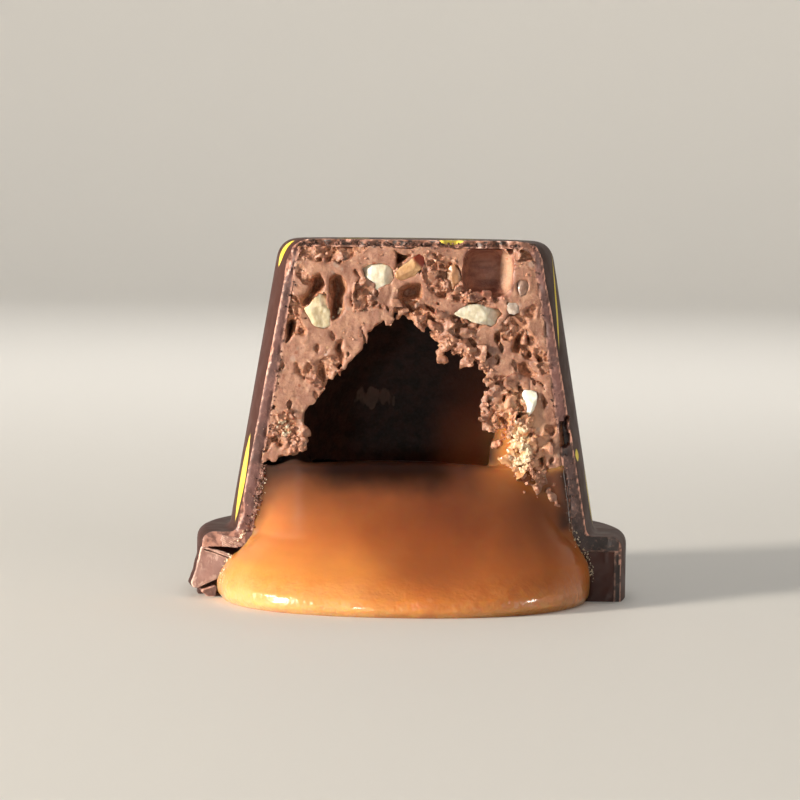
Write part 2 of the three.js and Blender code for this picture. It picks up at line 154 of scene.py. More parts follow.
# Nut pieces: outline at the cut, how far the face stands out, its slope along x and z, and the look.
NUTS = {
    "nut_1": ([(-7.05, 22.33), (-6.38, 22.3), (-6.44, 21.63), (-6.21, 20.85), (-6.09, 20.03), (-6.27, 19.81),
               (-6.64, 19.7), (-7.09, 19.83), (-7.5, 20.16), (-8.04, 20.97), (-8.15, 21.27), (-7.78, 21.43)],
              0.12, (0.16, -0.10), "ivory"),
    "nut_2": ([(-3.9, 24.2), (-3.4, 24.5), (-2.46, 24.6), (-1.95, 24.45), (-1.6, 24.12), (-1.5, 23.52),
               (-1.75, 23.1), (-2.3, 22.95), (-2.75, 22.6), (-2.95, 22.65), (-2.95, 23.1), (-3.7, 23.5)],
              0.03, (-0.10, 0.12), "green ivory"),
    "nut_3": ([(2.75, 20.97), (3.41, 21.43), (3.86, 21.66), (4.6, 21.74), (5.35, 21.5), (6.1, 21.39),
               (6.48, 20.95), (6.11, 20.72), (5.95, 20.25), (5.6, 20.0), (5.07, 20.2), (4.17, 20.4),
               (3.72, 20.6), (3.12, 20.8)],
              0.10, (-0.05, 0.22), "green ivory"),
    "nut_4": ([(8.43, 15.51), (9.02, 15.41), (9.1, 15.07), (8.89, 14.4), (8.65, 13.8), (8.38, 13.5),
               (8.2, 13.8), (8.25, 14.39), (8.0, 14.8), (7.9, 15.3), (8.1, 15.5)],
              0.42, (-0.30, 0.0), "white"),
    "nut_5": ([(-1.52, 23.93), (-1.04, 24.38), (-0.23, 25.0), (0.21, 25.35), (0.66, 25.11), (0.67, 24.52),
               (0.3, 24.1), (0.01, 23.69), (-0.66, 23.45), (-1.0, 23.3), (-1.4, 23.55)],
              0.20, (-0.12, 0.14), "skinned"),
    "nut_6": ([(7.35, 23.3), (7.75, 23.55), (8.2, 23.45), (8.3, 22.95), (8.05, 22.45), (7.65, 22.35),
               (7.4, 22.8)],
              0.0, (0.0, 0.1), "grey"),
    "nut_7": ([(6.65, 21.5), (6.85, 21.82), (7.3, 21.9), (7.6, 21.6), (7.6, 21.15), (7.25, 20.9),
               (6.8, 21.0)],
              0.06, (0.1, 0.1), "pale grey"),
    "nut_8": ([(2.5, 24.47), (2.85, 24.55), (3.23, 24.11), (3.42, 23.59), (3.09, 23.1), (2.73, 22.7),
               (2.3, 23.1), (2.25, 23.6)],
              0.10, (0.12, 0.05), "tan"),
}

# Yellow brush strokes round the outside:
# (angle in degrees from +X, z of the middle, half length, half width, lean).
STROKES = [
    (195.5, 8.7, 3.4, 0.85, 0.0), (-16.0, 21.9, 3.7, 0.26, -0.3), (-17.5, 10.7, 0.5, 0.5, 0.0),
    (-7.0, 7.4, 2.3, 0.28, 0.0), (197.0, 25.3, 1.2, 0.60, -0.35), (166.0, 17.5, 3.9, 0.42, 0.05),
    (149.0, 9.5, 3.2, 0.50, -0.04), (131.0, 20.0, 3.6, 0.44, 0.07), (113.0, 11.4, 4.6, 0.40, 0.03),
    (96.0, 21.6, 2.6, 0.52, -0.08), (82.0, 8.8, 2.8, 0.46, 0.06), (66.0, 17.3, 4.4, 0.42, -0.03),
    (47.0, 10.2, 3.8, 0.46, 0.05), (33.0, 21.4, 3.0, 0.40, 0.08), (17.0, 12.6, 4.2, 0.34, -0.05),
]
TOP_STROKES = [(2.6, -4.1, 1.25, 0.42, 0.1), (-4.6, 1.8, 2.6, 0.40, 1.0), (3.4, 3.4, 2.3, 0.36, -0.7),
               (-1.0, 6.4, 1.9, 0.34, 0.25)]  # on the flat top: x, y, half length, half width, angle

# The flow in front of the cut: (z, forward reach, half width to the left, half width to the right).
FLOW = np.array([
    (0.0, 9.75, 13.9, 12.9), (0.5, 10.2, 14.2, 13.25), (1.2, 10.05, 14.3, 13.35), (2.0, 9.2, 14.1, 13.35),
    (3.0, 8.0, 13.5, 13.2), (4.0, 6.85, 12.2, 12.4), (4.8, 6.0, 11.5, 11.7), (6.0, 4.75, 11.1, 11.0),
    (7.0, 3.75, 11.0, 10.5), (8.0, 2.65, 10.95, 9.9), (9.0, 1.5, 10.9, 9.1), (9.8, 0.5, 10.7, 8.2),
    (11.0, -1.2, 10.3, 7.6),
])


# ================= Shapes from fields =================
def spline_weights(axis, size, start):
    """Rows of cubic weights that spread a coarse row of random numbers smoothly along an axis."""
    place = (axis - axis[0]) / size + start
    whole = np.floor(place).astype(int)
    part = place - whole
    weights = np.zeros((len(axis), whole.max() + 4), np.float32)
    taps = ((1 - part) ** 3, 3 * part**3 - 6 * part**2 + 4,
            -3 * part**3 + 3 * part**2 + 3 * part + 1, part**3)
    for tap, value in enumerate(taps):
        weights[np.arange(len(axis)), whole + tap] = value / 6
    return weights


def closed(outline):
    """The straight sides of an outline, each as its two ends."""
    return zip(outline, outline[1:] + outline[:1])


def encloses(outline, x, z):
    """Whether places on the cut are inside an outline."""
    inside = False
    for (ax, az), (bx, bz) in closed(outline):
        if az != bz:
            inside = inside ^ (((az > z) != (bz > z)) & (x < ax + (z - az) / (bz - az) * (bx - ax)))
    return inside


class Space:
    """A box of sample points in millimetres. Fields on it are below zero inside a shape."""

    def __init__(self, x, y, z):
        self.axes = [np.asarray(axis, np.float32) for axis in (x, y, z)]
        self.x = self.axes[0][:, None, None]
        self.y = self.axes[1][None, :, None]
        self.z = self.axes[2][None, None, :]

    def noise(self, size, seed, flat=False, stretch=(1, 1, 1)):
        """Smooth noise of about plus or minus one, in lumps of that size.

        Flat noise is the same at every depth."""
        draw = np.random.default_rng(seed)
        axes = [self.axes[0], self.axes[1][:1] if flat else self.axes[1], self.axes[2]]
        weights = [spline_weights(axis, size * s, draw.random()) for axis, s in zip(axes, stretch)]
        coarse = draw.uniform(-1, 1, [w.shape[1] for w in weights]).astype(np.float32)
        for w in weights:
            coarse = np.moveaxis(np.tensordot(w, coarse, (1, 0)), 0, 2)
        return coarse * (0.5 / coarse.std())

    def distance(self, sides):
        """Distance to the nearest of some straight sides in the plane of the cut."""
        px, pz = self.x[:, :, 0], self.z[0]
        nearest = np.full((px.shape[0], pz.shape[1]), 1e9, np.float32)
        for (ax, az), (bx, bz) in sides:
            ex, ez = bx - ax, bz - az
            along = np.clip(((px - ax) * ex + (pz - az) * ez) / (ex * ex + ez * ez), 0, 1)
            nearest = np.minimum(nearest, (px - ax - along * ex) ** 2 + (pz - az - along * ez) ** 2)
        return np.sqrt(nearest)

    def outline(self, points):
        """Distance to an outline on the cut, below zero inside it, the same at every depth."""
        inside = encloses(points, self.x[:, :, 0], self.z[0])
        return (self.distance(closed(points)) * np.where(inside, -1, 1))[:, None, :]

    def line(self, points):
        """Distance to an open line on the cut, the same at every depth."""
        return self.distance(zip(points, points[1:]))[:, None, :]

    def near(self, centre, reach):
        """The part of the box within reach of a point, as slices and as a smaller Space."""
        spans = []
        for axis, middle in zip(self.axes, centre):
            low, high = np.searchsorted(axis, (middle - reach, middle + reach))
            spans.append(slice(low, max(high, low + 1)))
        return tuple(spans), Space(*[axis[span] for axis, span in zip(self.axes, spans)])


def melt(a, b, width):
    """The join of two shapes with a fillet of about that width."""
    blend = np.clip(0.5 + 0.5 * (b - a) / width, 0, 1)
    return b + (a - b) * blend - width * blend * (1 - blend)


def carve(a, b, width):
    """Shape a without shape b, with a rounded edge."""
    return -melt(-a, b, width)


def smooth(low, high, value):
    """Goes softly from 0 to 1 as the value goes from low to high."""
    t = np.clip((value - low) / (high - low), 0, 1)
    return t * t * (3 - 2 * t)


def skin(space, field):
    """Points and quads of the surface where a field passes zero, one point to each box it passes through."""
    corners = [(i, j, k) for i in (0, 1) for j in (0, 1) for k in (0, 1)]
    inside = field < 0
    size = [n - 1 for n in field.shape]
    count = sum(inside[i:i + size[0], j:j + size[1], k:k + size[2]].astype(np.int8) for i, j, k in corners)
    passed = (count > 0) & (count < 8)
    cells = np.argwhere(passed)
    number = np.full(passed.shape, -1, np.int64)
    number[passed] = np.arange(len(cells))
    values = {c: field[cells[:, 0] + c[0], cells[:, 1] + c[1], cells[:, 2] + c[2]] for c in corners}
    total = np.zeros((len(cells), 3))
    hits = np.zeros(len(cells))
    for a in corners:
        for axis in range(3):
            if a[axis]:
                continue
            b = tuple(1 if d == axis else a[d] for d in range(3))
            crossing = (values[a] < 0) != (values[b] < 0)
            gap = np.where(crossing, values[a] - values[b], 1)
            part = np.where(crossing, values[a] / gap, 0)
            point = np.array(a, float) + part[:, None] * (np.array(b) - np.array(a))
            total += point * crossing[:, None]
            hits += crossing
    index = cells + total / hits[:, None]
    points = np.stack([np.interp(index[:, d], np.arange(len(axis)), axis)
                       for d, axis in enumerate(space.axes)], 1)
    quads = []
    for d in range(3):
        e, f = (d + 1) % 3, (d + 2) % 3
        here, there = [slice(None)] * 3, [slice(None)] * 3
        here[d], there[d] = slice(0, -1), slice(1, None)
        for axis in (e, f):
            here[axis] = there[axis] = slice(1, -1)
        first = inside[tuple(here)]
        edges = np.argwhere(first != inside[tuple(there)])
        outward = first[tuple(edges.T)]
        edges[:, e] += 1
        edges[:, f] += 1
        ring = []
        for back_e, back_f in ((1, 1), (0, 1), (0, 0), (1, 0)):
            cell = edges.copy()
            cell[:, e] -= back_e
            cell[:, f] -= back_f
            ring.append(number[tuple(cell.T)])
        ring = np.stack(ring, 1)
        quads.append(np.where(outward[:, None], ring, ring[:, ::-1]))
    return points, np.concatenate(quads)


def sample(space, field, points):
    """A field's value at points, by straight blending between its samples."""
    place = [np.interp(points[:, d], space.axes[d], np.arange(len(space.axes[d]))) for d in range(3)]
    low = [np.minimum(p.astype(int), n - 2) for p, n in zip(place, field.shape)]
    part = [p - whole for p, whole in zip(place, low)]
    value = 0
    for i in (0, 1):
        for j in (0, 1):
            for k in (0, 1):
                weight = 1
                for step, p in zip((i, j, k), part):
                    weight = weight * (p if step else 1 - p)
                value = value + weight * field[low[0] + i, low[1] + j, low[2] + k]
    return value


def settle(space, field, points, steps=3):
    """Moves points onto the surface of a smooth field."""
    slopes = np.gradient(field, *space.axes)
    for _ in range(steps):
        slope = np.stack([sample(space, s, points) for s in slopes], 1)
        value = sample(space, field, points)
        points = points - slope * (value / np.maximum((slope**2).sum(1), 1e-4))[:, None]
    return points


# ================= Meshes =================
def linked(name, data):
    """A new object in the scene, at the origin."""
    piece = bpy.data.objects.new(name, data)
    bpy.context.scene.collection.objects.link(piece)
    return piece


def new_piece(name, points, faces, *materials):
    """A smooth mesh object at the origin, from points in millimetres."""
    mesh = bpy.data.meshes.new(name)
    faces = faces.tolist() if isinstance(faces, np.ndarray) else faces
    mesh.from_pydata((np.asarray(points, float) * MM).tolist(), [], faces)
    for material in materials:
        mesh.materials.append(material)
    mesh.polygons.foreach_set("use_smooth", [True] * len(mesh.polygons))
    mesh.update()
    return linked(name, mesh)


def paint_points(piece, name, values):
    """Stores a number for each point, for the materials."""
    layer = piece.data.attributes.new(name, "FLOAT", "POINT")
    layer.data.foreach_set("value", np.asarray(values, np.float32))


def turned(name, profile, steps, *materials):
    """A solid of revolution round +Z, from (radius, z) points that start and end on the axis."""
    angles = np.linspace(0, 2 * math.pi, steps, endpoint=False)
    points = [(0, 0, profile[0][1])]
    for radius, z in profile[1:-1]:
        points += [(radius * math.cos(a), radius * math.sin(a), z) for a in angles]
    points.append((0, 0, profile[-1][1]))
    rings, last = len(profile) - 2, len(points) - 1
    faces = []
    for i in range(steps):
        j = (i + 1) % steps
        faces.append((0, 1 + j, 1 + i))
        for ring in range(rings - 1):
            a, b = 1 + ring * steps, 1 + (ring + 1) * steps
            faces.append((a + i, a + j, b + j, b + i))
        top = 1 + (rings - 1) * steps
        faces.append((top + i, top + j, last))
    return new_piece(name, points, faces, *materials)


def plain(piece):
    """The piece with its modifiers applied, as a plain mesh."""
    shape = bpy.data.meshes.new_from_object(piece.evaluated_get(bpy.context.evaluated_depsgraph_get()))
    piece.modifiers.clear()
    old = piece.data
    piece.data = shape
    bpy.data.meshes.remove(old)
    return piece


def cut_away(piece, tool):
    """Cuts a tool's shape out of a piece. The tool is used up."""
    modifier = piece.modifiers.new("cut", "BOOLEAN")
    modifier.operation, modifier.solver, modifier.object = "DIFFERENCE", "MANIFOLD", tool
    plain(piece)
    bpy.data.objects.remove(tool)


def thin_out(piece, where, share):
    """Leaves a piece only a share of its faces, and takes the others away at the marked points alone."""
    group = piece.vertex_groups.new(name="thin")
    group.add(np.flatnonzero(where).tolist(), 1.0, "REPLACE")
    modifier = piece.modifiers.new("thin", "DECIMATE")
    modifier.ratio, modifier.vertex_group = share, "thin"
    plain(piece)
    piece.vertex_groups.clear()


def sharpen(piece, degrees):
    """Smooth shading with hard edges where faces meet at more than an angle."""
    piece.data.polygons.foreach_set("use_smooth", [True] * len(piece.data.polygons))
    piece.data.set_sharp_from_angle(angle=math.radians(degrees))
    return piece


def soft_corner(a, b, c, count):
    """Points on the soft corner from a to c that heads for b."""
    t = np.linspace(0, 1, count)[:, None]
    line = (1 - t) ** 2 * np.array(a) + 2 * t * (1 - t) * np.array(b) + t**2 * np.array(c)
    return [tuple(p) for p in line]


# ================= Shader maths =================
class Value:
    """A socket that can be used in sums."""

    def __init__(self, look, socket):
        self.look, self.socket = look, socket

    def math(self, operation, *others):
        """The value put through a Math node together with others."""
        return self.look.node("ShaderNodeMath", {"operation": operation}, [self, *others])

    def __add__(self, other):
        return self.math("ADD", other)

    def __sub__(self, other):
        return self.math("SUBTRACT", other)

    def __rsub__(self, other):
        return self.look.node("ShaderNodeMath", {"operation": "SUBTRACT"}, [other, self])

    def __mul__(self, other):
        return self.math("MULTIPLY", other)

    def __truediv__(self, other):
        return self.math("DIVIDE", other)

    def __pow__(self, other):
        return self.math("POWER", other)

    def __abs__(self):
        return self.math("ABSOLUTE")

    __radd__ = __add__
    __rmul__ = __mul__

    def larger(self, other):
        """The larger of two values."""
        return self.math("MAXIMUM", other)

    def smaller(self, other):
        """The smaller of two values."""
        return self.math("MINIMUM", other)

    def ramp(self, low, high, start=0.0, end=1.0):
        """Goes smoothly from start to end as the value goes from low to high."""
        return self.look.node(
            "ShaderNodeMapRange", {"interpolation_type": "SMOOTHSTEP"},
            {"Value": self, "From Min": low, "From Max": high, "To Min": start, "To Max": end})


class Look:
    """A procedural material while it is being made."""

    def __init__(self, name):
        self.material = bpy.data.materials.new(name)
        self.material.use_nodes = True
        self.tree = self.material.node_tree
        self.tree.nodes.clear()
        self.place = self.node("ShaderNodeTexCoord", {}, {}, "Object")

    def node(self, kind, settings=None, inputs=None, output=0):
        """Adds a node with its settings, fills its sockets with values or links, and gives one output."""
        node = self.tree.nodes.new(kind)
        for key, value in (settings or {}).items():
            if key == "stops":
                ramp = node.color_ramp
                while len(ramp.elements) < len(value):
                    ramp.elements.new(0.5)
                for element, (position, colour) in zip(ramp.elements, value):
                    element.position, element.color = position, colour
            else:
                setattr(node, key, value)
        pairs = enumerate(inputs) if isinstance(inputs, list) else (inputs or {}).items()
        for key, value in pairs:
            if isinstance(value, Value):
                self.tree.links.new(value.socket, node.inputs[key])
            else:
                node.inputs[key].default_value = value
        return Value(self, node.outputs[output]) if node.outputs else node

    def millimetres(self):
        """The place on the object, as x, y and z in millimetres."""
        node = self.tree.nodes.new("ShaderNodeSeparateXYZ")
        self.tree.links.new(self.place.socket, node.inputs[0])
        return [Value(self, output) * PER_METRE for output in node.outputs]

    def noise(self, size_mm, detail=3.0, stretch=(1, 1, 1), seed=0.0, roughness=0.5):
        """Noise from 0 to 1 in lumps of a size. The seed moves it to another place."""
        place = self.node("ShaderNodeVectorMath", {"operation": "MULTIPLY"}, [self.place, stretch])
        place = self.node("ShaderNodeVectorMath", {"operation": "ADD"}, [place, (seed, seed * 0.7, -seed)])
        sizes = {"Scale": PER_METRE / size_mm, "Detail": detail, "Roughness": roughness}
        return self.node("ShaderNodeTexNoise", {}, {"Vector": place, **sizes}, "Fac")

    def cells(self, size_mm, seed):
        """The distance to the nearest of scattered points, for specks of a size."""
        place = self.node("ShaderNodeVectorMath", {"operation": "ADD"}, [self.place, (seed, -seed, seed)])
        scattered = {"Vector": place, "Scale": PER_METRE / size_mm}
        return self.node("ShaderNodeTexVoronoi", {}, scattered, "Distance")

    def attribute(self, name):
        """A number that the mesh stores for each point."""
        return self.node("ShaderNodeAttribute", {"attribute_name": name}, {}, "Fac")

    def mix(self, factor, a, b):
        """A colour between a and b."""
        colours = [rgb(c) if isinstance(c, str) else c for c in (a, b)]
        node = self.tree.nodes.new("ShaderNodeMix")
        node.data_type = "RGBA"
        for socket, value in zip((node.inputs[0], node.inputs[6], node.inputs[7]), (factor, *colours)):
            if isinstance(value, Value):
                self.tree.links.new(value.socket, socket)
            else:
                socket.default_value = value
        return Value(self, node.outputs[2])

    def finish(self, bump=None, bump_mm=0.05, **sockets):
        """Ends in one Principled shader. Bump is a height of about 0 to 1, raised by bump_mm."""
        inputs = {key.replace("_", " "): value for key, value in sockets.items()}
        if bump is not None:
            raised = {"Height": bump, "Distance": bump_mm * MM}
            inputs["Normal"] = self.node("ShaderNodeBump", {}, raised, "Normal")
        shader = self.node("ShaderNodeBsdfPrincipled", {}, inputs)
        self.node("ShaderNodeOutputMaterial", {}, {"Surface": shader})
        return self.material


def gradient(*stops):
    """Colour stops from (place, web code) pairs."""
    return [(place, rgb(code)) for place, code in stops]


def rgb(code):
    """A colour from its web code, as linear numbers."""
    channels = [int(code[i:i + 2], 16) / 255 for i in (0, 2, 4)]
    return tuple(c / 12.92 if c <= 0.04045 else ((c + 0.055) / 1.055) ** 2.4 for c in channels) + (1.0,)


# ================= Materials =================
def spot(x, z, middle, reach, power=2.0):
    """Falls from 1 at a place on the cut to 0 at its reach along x and along z."""
    return 1.0 - ((x - middle[0]) / reach[0]) ** power - ((z - middle[1]) / reach[1]) ** power


def pointed(along, across):
    """A pointed brush stroke, above zero inside. Both ways run from 0 on its middle to 1 at its end."""
    return (1.0 - along * along).larger(0.0) - abs(across)


def side_strokes(x, y, z, wobble):
    """The strokes round the cone's side, one after another."""
    angle = y.math("ARCTAN2", x)
    radius = (x * x + y * y) ** 0.5
    for degrees, middle, half_length, half_width, lean in STROKES:
        place = math.radians(degrees if degrees <= 180 else degrees - 360)
        turn = (angle - place).math("ADD", math.pi).math("FLOORED_MODULO", 2 * math.pi) - math.pi
        across = (turn * radius + lean * (z - middle) + wobble) / half_width
        yield pointed((z - middle) / half_length, across)


def top_strokes(x, y, wobble):
    """The strokes on the flat top, one after another."""
    for px, py, half_length, half_width, turn in TOP_STROKES:
        along = (x - px) * math.cos(turn) + (y - py) * math.sin(turn)
        across = (y - py) * math.cos(turn) - (x - px) * math.sin(turn)
        yield pointed(along / half_length, (across + wobble) / half_width)


def moulded_chocolate():
    """Smooth dark chocolate from the mould, with its yellow strokes."""
    look = Look("moulded dark chocolate")
    x, y, z = look.millimetres()
    wobble = (look.noise(1.6, 2.0) - 0.5) * 0.10
    below_rim = (HEIGHT - 0.15 - z).ramp(0.0, 0.1)
    above_brim = (z - BRIM_HEIGHT).ramp(-0.1, 0.1)
    on_side = functools.reduce(Value.larger, side_strokes(x, y, z, wobble)) * below_rim * above_brim
    on_top = functools.reduce(Value.larger, top_strokes(x, y, wobble)) * (z - HEIGHT + 0.5).ramp(0.0, 0.3)
    painted = on_side.larger(on_top).ramp(0.0, 0.22)
    streak = look.noise(0.5, 2.0, (1, 1, 0.12), 3.0)
    cocoa = look.mix(look.noise(6.0, 3.0).ramp(0.35, 0.65), "381a12", "46231a")
    yellow = look.mix(streak.ramp(0.3, 0.7), "f1d23c", "fbe46a")
    return look.finish(
        bump=look.noise(3.0, 2.0) + painted * 0.35, bump_mm=0.04,
        Base_Color=look.mix(painted, cocoa, yellow),
        Roughness=look.noise(1.2, 3.0, seed=1.0).ramp(0.3, 0.7, 0.44, 0.56) + painted * 0.08,
        Specular_IOR_Level=0.25)


def cut_chocolate(name, light, dark, pale, shade, paint=None):
    """Chocolate where it was cut or broken: satin, paler on its crushed edges, and darker to the right in
    painted shade.

    Paint is the stretch of its top edge, as x from and to, where a yellow stroke runs over the edge."""
    look = Look(name)
    grain = look.noise(0.28, 4.0, roughness=0.65)
    patch = look.noise(1.5, 3.0, seed=2.0).ramp(0.35, 0.68)
    crushed = look.attribute("crushed")
    crumbly = look.attribute("crumbly")
    flake = look.noise(0.42, 1.0, seed=3.0)
    speck = look.cells(0.5, 1.0).ramp(0.12, 0.07) * look.noise(1.1, 1.0, seed=5.0).ramp(0.54, 0.62)
    x, _, z = look.millimetres()
    colour = look.mix(patch, light, dark)
    # Painted shade: the right wall and the right of the brim are darkened towards the shade colour.
    shaded_right_wall = x.ramp(7.0, 10.0) * z.ramp(15.0, 12.0) * 0.7
    shaded_right_brim = x.ramp(11.6, 13.4) * z.ramp(6.0, 5.0) * 0.95
    colour = look.mix(shaded_right_wall.larger(shaded_right_brim), colour, shade)
    colour = look.mix(grain.ramp(0.5, 0.75) * 0.18, colour, pale)
    colour = look.mix(crumbly, colour, look.mix(flake.ramp(0.35, 0.65), "2c1812", "9a6a55"))
    broken = look.noise(0.5, 2.0, seed=7.0).ramp(0.38, 0.56, 0.2, 1.0)
    colour = look.mix((crushed * broken + speck * 0.7).smaller(1.0), colour, pale)
    if paint:
        middle, half = (paint[0] + paint[1]) / 2, (paint[1] - paint[0]) / 2
        stroke = 1.0 - ((x - middle) / half) ** 2.0 - (HEIGHT - z + (patch - 0.5) * 0.3) / 0.5
        colour = look.mix(stroke.ramp(0.0, 0.1), colour, "e8cf52")
    return look.finish(bump=grain + patch * 0.5, bump_mm=0.05, Base_Color=colour,
                       Roughness=look.noise(0.8, 2.0, seed=4.0).ramp(0.3, 0.7, 0.42, 0.6))


def broken_face():
    """The broken corner's pale, speckled face."""
    look = Look("broken corner")
    crushed = look.attribute("crushed")
    patchy = look.noise(1.4, 1.0, seed=2.0).ramp(0.4, 0.6)
    fleck = look.noise(0.30, 3.0, (1.0, 1.0, 0.5), 3.0).ramp(0.50, 0.62) * patchy
    colour = look.mix(look.noise(0.9, 3.0).ramp(0.35, 0.65), "8f6a60", "a07a70")
    colour = look.mix(fleck * 0.6, colour, "d2b3a4")
    broken = look.noise(0.35, 2.0, seed=4.0).ramp(0.4, 0.58, 0.1, 0.9)
    colour = look.mix(crushed * broken, colour, "e6c4b2")
    return look.finish(bump=look.noise(0.3, 3.0), bump_mm=0.04, Base_Color=colour, Roughness=0.5)


def speckle(look, size_mm, seed, patch_mm, patch_seed, band):
    """Scattered specks, only where a broader noise is past a band."""
    patch = look.noise(patch_mm, 1.0, seed=patch_seed).ramp(*band)
    return look.cells(size_mm, seed).ramp(0.20, 0.12) * patch


def praline_paste(look, fine, medium, smear):
    """The colour of the paste at the cut, smeared or torn, before its specks and its light places."""
    colour = look.mix(smear.ramp(0.3, 0.7), "a87862", "8c5f4b")
    colour = look.mix(medium.ramp(0.4, 0.75), colour, "b78a70")
    colour = look.mix(fine.ramp(0.52, 0.7) * 0.5, colour, "704534")
    colour = look.mix(fine.ramp(0.46, 0.3) * 0.35, colour, "cda183")
    return look.mix(look.attribute("torn"), colour, look.mix(fine.ramp(0.35, 0.65), "c48f70", "9c6b52"))


def hollow_wall(look, x, z, medium, smear):
    """The colour of the caramel-wet wall of the hollow: dark, partly painted shade, with painted light from
    red-brown to golden at the right and a painted reflection at its back.
    """
    # Painted light: the wall turns red-brown, then orange and golden towards the right.
    painted_glow = x.ramp(1.0, 5.5) * z.ramp(19.0, 14.0)
    deep = look.mix(painted_glow, look.mix(medium.ramp(0.35, 0.65), "24120c", "3c1f17"), "7c4127")
    deep = look.mix(x.ramp(0.5, 5.0) * z.ramp(14.5, 10.5), deep, "c9764a")
    deep = look.mix(x.ramp(4.6, 6.8) * z.ramp(14.5, 11.5), deep, "dba468")
    # Painted reflection: a pale greyish smear on the back wall.
    flake = spot(x, z, (-3.0, 14.0), (1.6, 1.2)) + (smear - 0.5) * 5.0
    return look.mix(flake.ramp(0.55, 0.9) * 0.45, deep, "8d7468")


def nut_praline():
    """Nut paste, smeared at the cut, crumbly where it tore, and wet with caramel in the hollow. Painted light
    lies over the crumbly place at the right, with a painted highlight in it, and on the scoop's right wall.
    """
    look = Look("nut praline")
    wet = look.attribute("wet")
    torn = look.attribute("torn")
    fine = look.noise(0.22, 4.0, roughness=0.6)
    medium = look.noise(0.9, 3.0, seed=3.0)
    smear = look.noise(1.4, 3.0, (1.0, 1.0, 0.35), 7.0)
    x, _, z = look.millimetres()
    uneven = medium - 0.5
    film = (spot(x, z, (7.2, 10.9), (1.5, 3.2)) + uneven * 2.4).ramp(0.0, 0.4)
    grey = look.cells(0.95, 2.0).ramp(0.30, 0.22) * look.noise(1.5, 1.0, seed=8.0).ramp(0.56, 0.6)
    scored = look.noise(0.45, 3.0, (0.15, 1.0, 1.0), 11.0)
    scoop = look.mix(scored.ramp(0.35, 0.65), "74463a", "a06a56")
    colour = praline_paste(look, fine, medium, smear)
    for share, tint in (
            # Painted light over the crumbly place at the right, then a painted highlight at its middle.
            (spot(x, z, (7.6, 11.6), (2.6, 4.6)).ramp(0.0, 0.6) * 0.5, "e6b088"),
            ((spot(x, z, (7.85, 11.4), (0.7, 1.7)) + uneven * 1.2).ramp(0.0, 0.5) * 0.75, "fff0cc"),
            (film * 0.5, "f2b070"),
            (grey * 0.5, "a58f82"),
            (speckle(look, 0.55, 4.0, 1.2, 6.0, (0.52, 0.6)) * 0.6, "d9b692"),
            (speckle(look, 0.8, 5.0, 1.8, 9.0, (0.58, 0.64)) * 0.75, "8c4a2e"),
            (spot(x, z, (5.3, 24.0), (2.0, 2.05), 4.0).ramp(0.0, 0.3) * 0.85, scoop),
            # Painted light on the scoop's right wall.
            (spot(x, z, (6.65, 24.1), (0.5, 1.9)).ramp(0.0, 0.6) * 0.5, "f2c6a4"),
            # The hollow's wall, with its painted shade and painted light.
            (wet, hollow_wall(look, x, z, medium, smear))):
        colour = look.mix(share, colour, tint)
    return look.finish(
        bump=fine * (torn * 0.5 + 0.5) + medium * 0.4 + smear * 0.8, bump_mm=0.09, Base_Color=colour,
        Roughness=(fine.ramp(0.3, 0.7, 0.38, 0.56) + wet * 0.35 - film * 0.2).larger(0.2),
        Coat_Weight=film * 1.0, Coat_Roughness=0.08,
        Subsurface_Weight=0.25, Subsurface_Radius=(1.0, 0.4, 0.2), Subsurface_Scale=0.5 * MM)


def crumb_look(name, light, dark, painted_glow=0.0):
    """A crumb's finish. The last argument is how much a painted highlight lightens it among the crumbs over
    the caramel at the right.
    """
    look = Look(name)
    x, _, z = look.millimetres()
    colour = look.mix(look.noise(0.5, 2.0).ramp(0.35, 0.65), light, dark)
    # Painted highlight: a cream-white patch among the crumbs at the right.
    painted_highlight = spot(x, z, (7.8, 11.2), (1.0, 2.2)).ramp(0.0, 0.6)
    colour = look.mix(painted_highlight * painted_glow, colour, "fff0cc")
    return look.finish(bump=look.noise(0.12, 3.0), bump_mm=0.03, Base_Color=colour, Roughness=0.5)


# The caramel's colour over its height, from the floor up, as shares of 10 mm, in painted light and shade:
# a lit copy for the left and a shaded copy for the right, both darker towards the top.
SUNNY_CARAMEL = gradient(
    (0.0, "eeb076"), (0.22, "e2994c"), (0.5, "c07339"), (0.78, "7c4826"), (0.92, "482819"))
SHADED_CARAMEL = gradient(
    (0.0, "dc9450"), (0.22, "b76a31"), (0.5, "a05829"), (0.74, "874a26"), (0.92, "5a301c"))


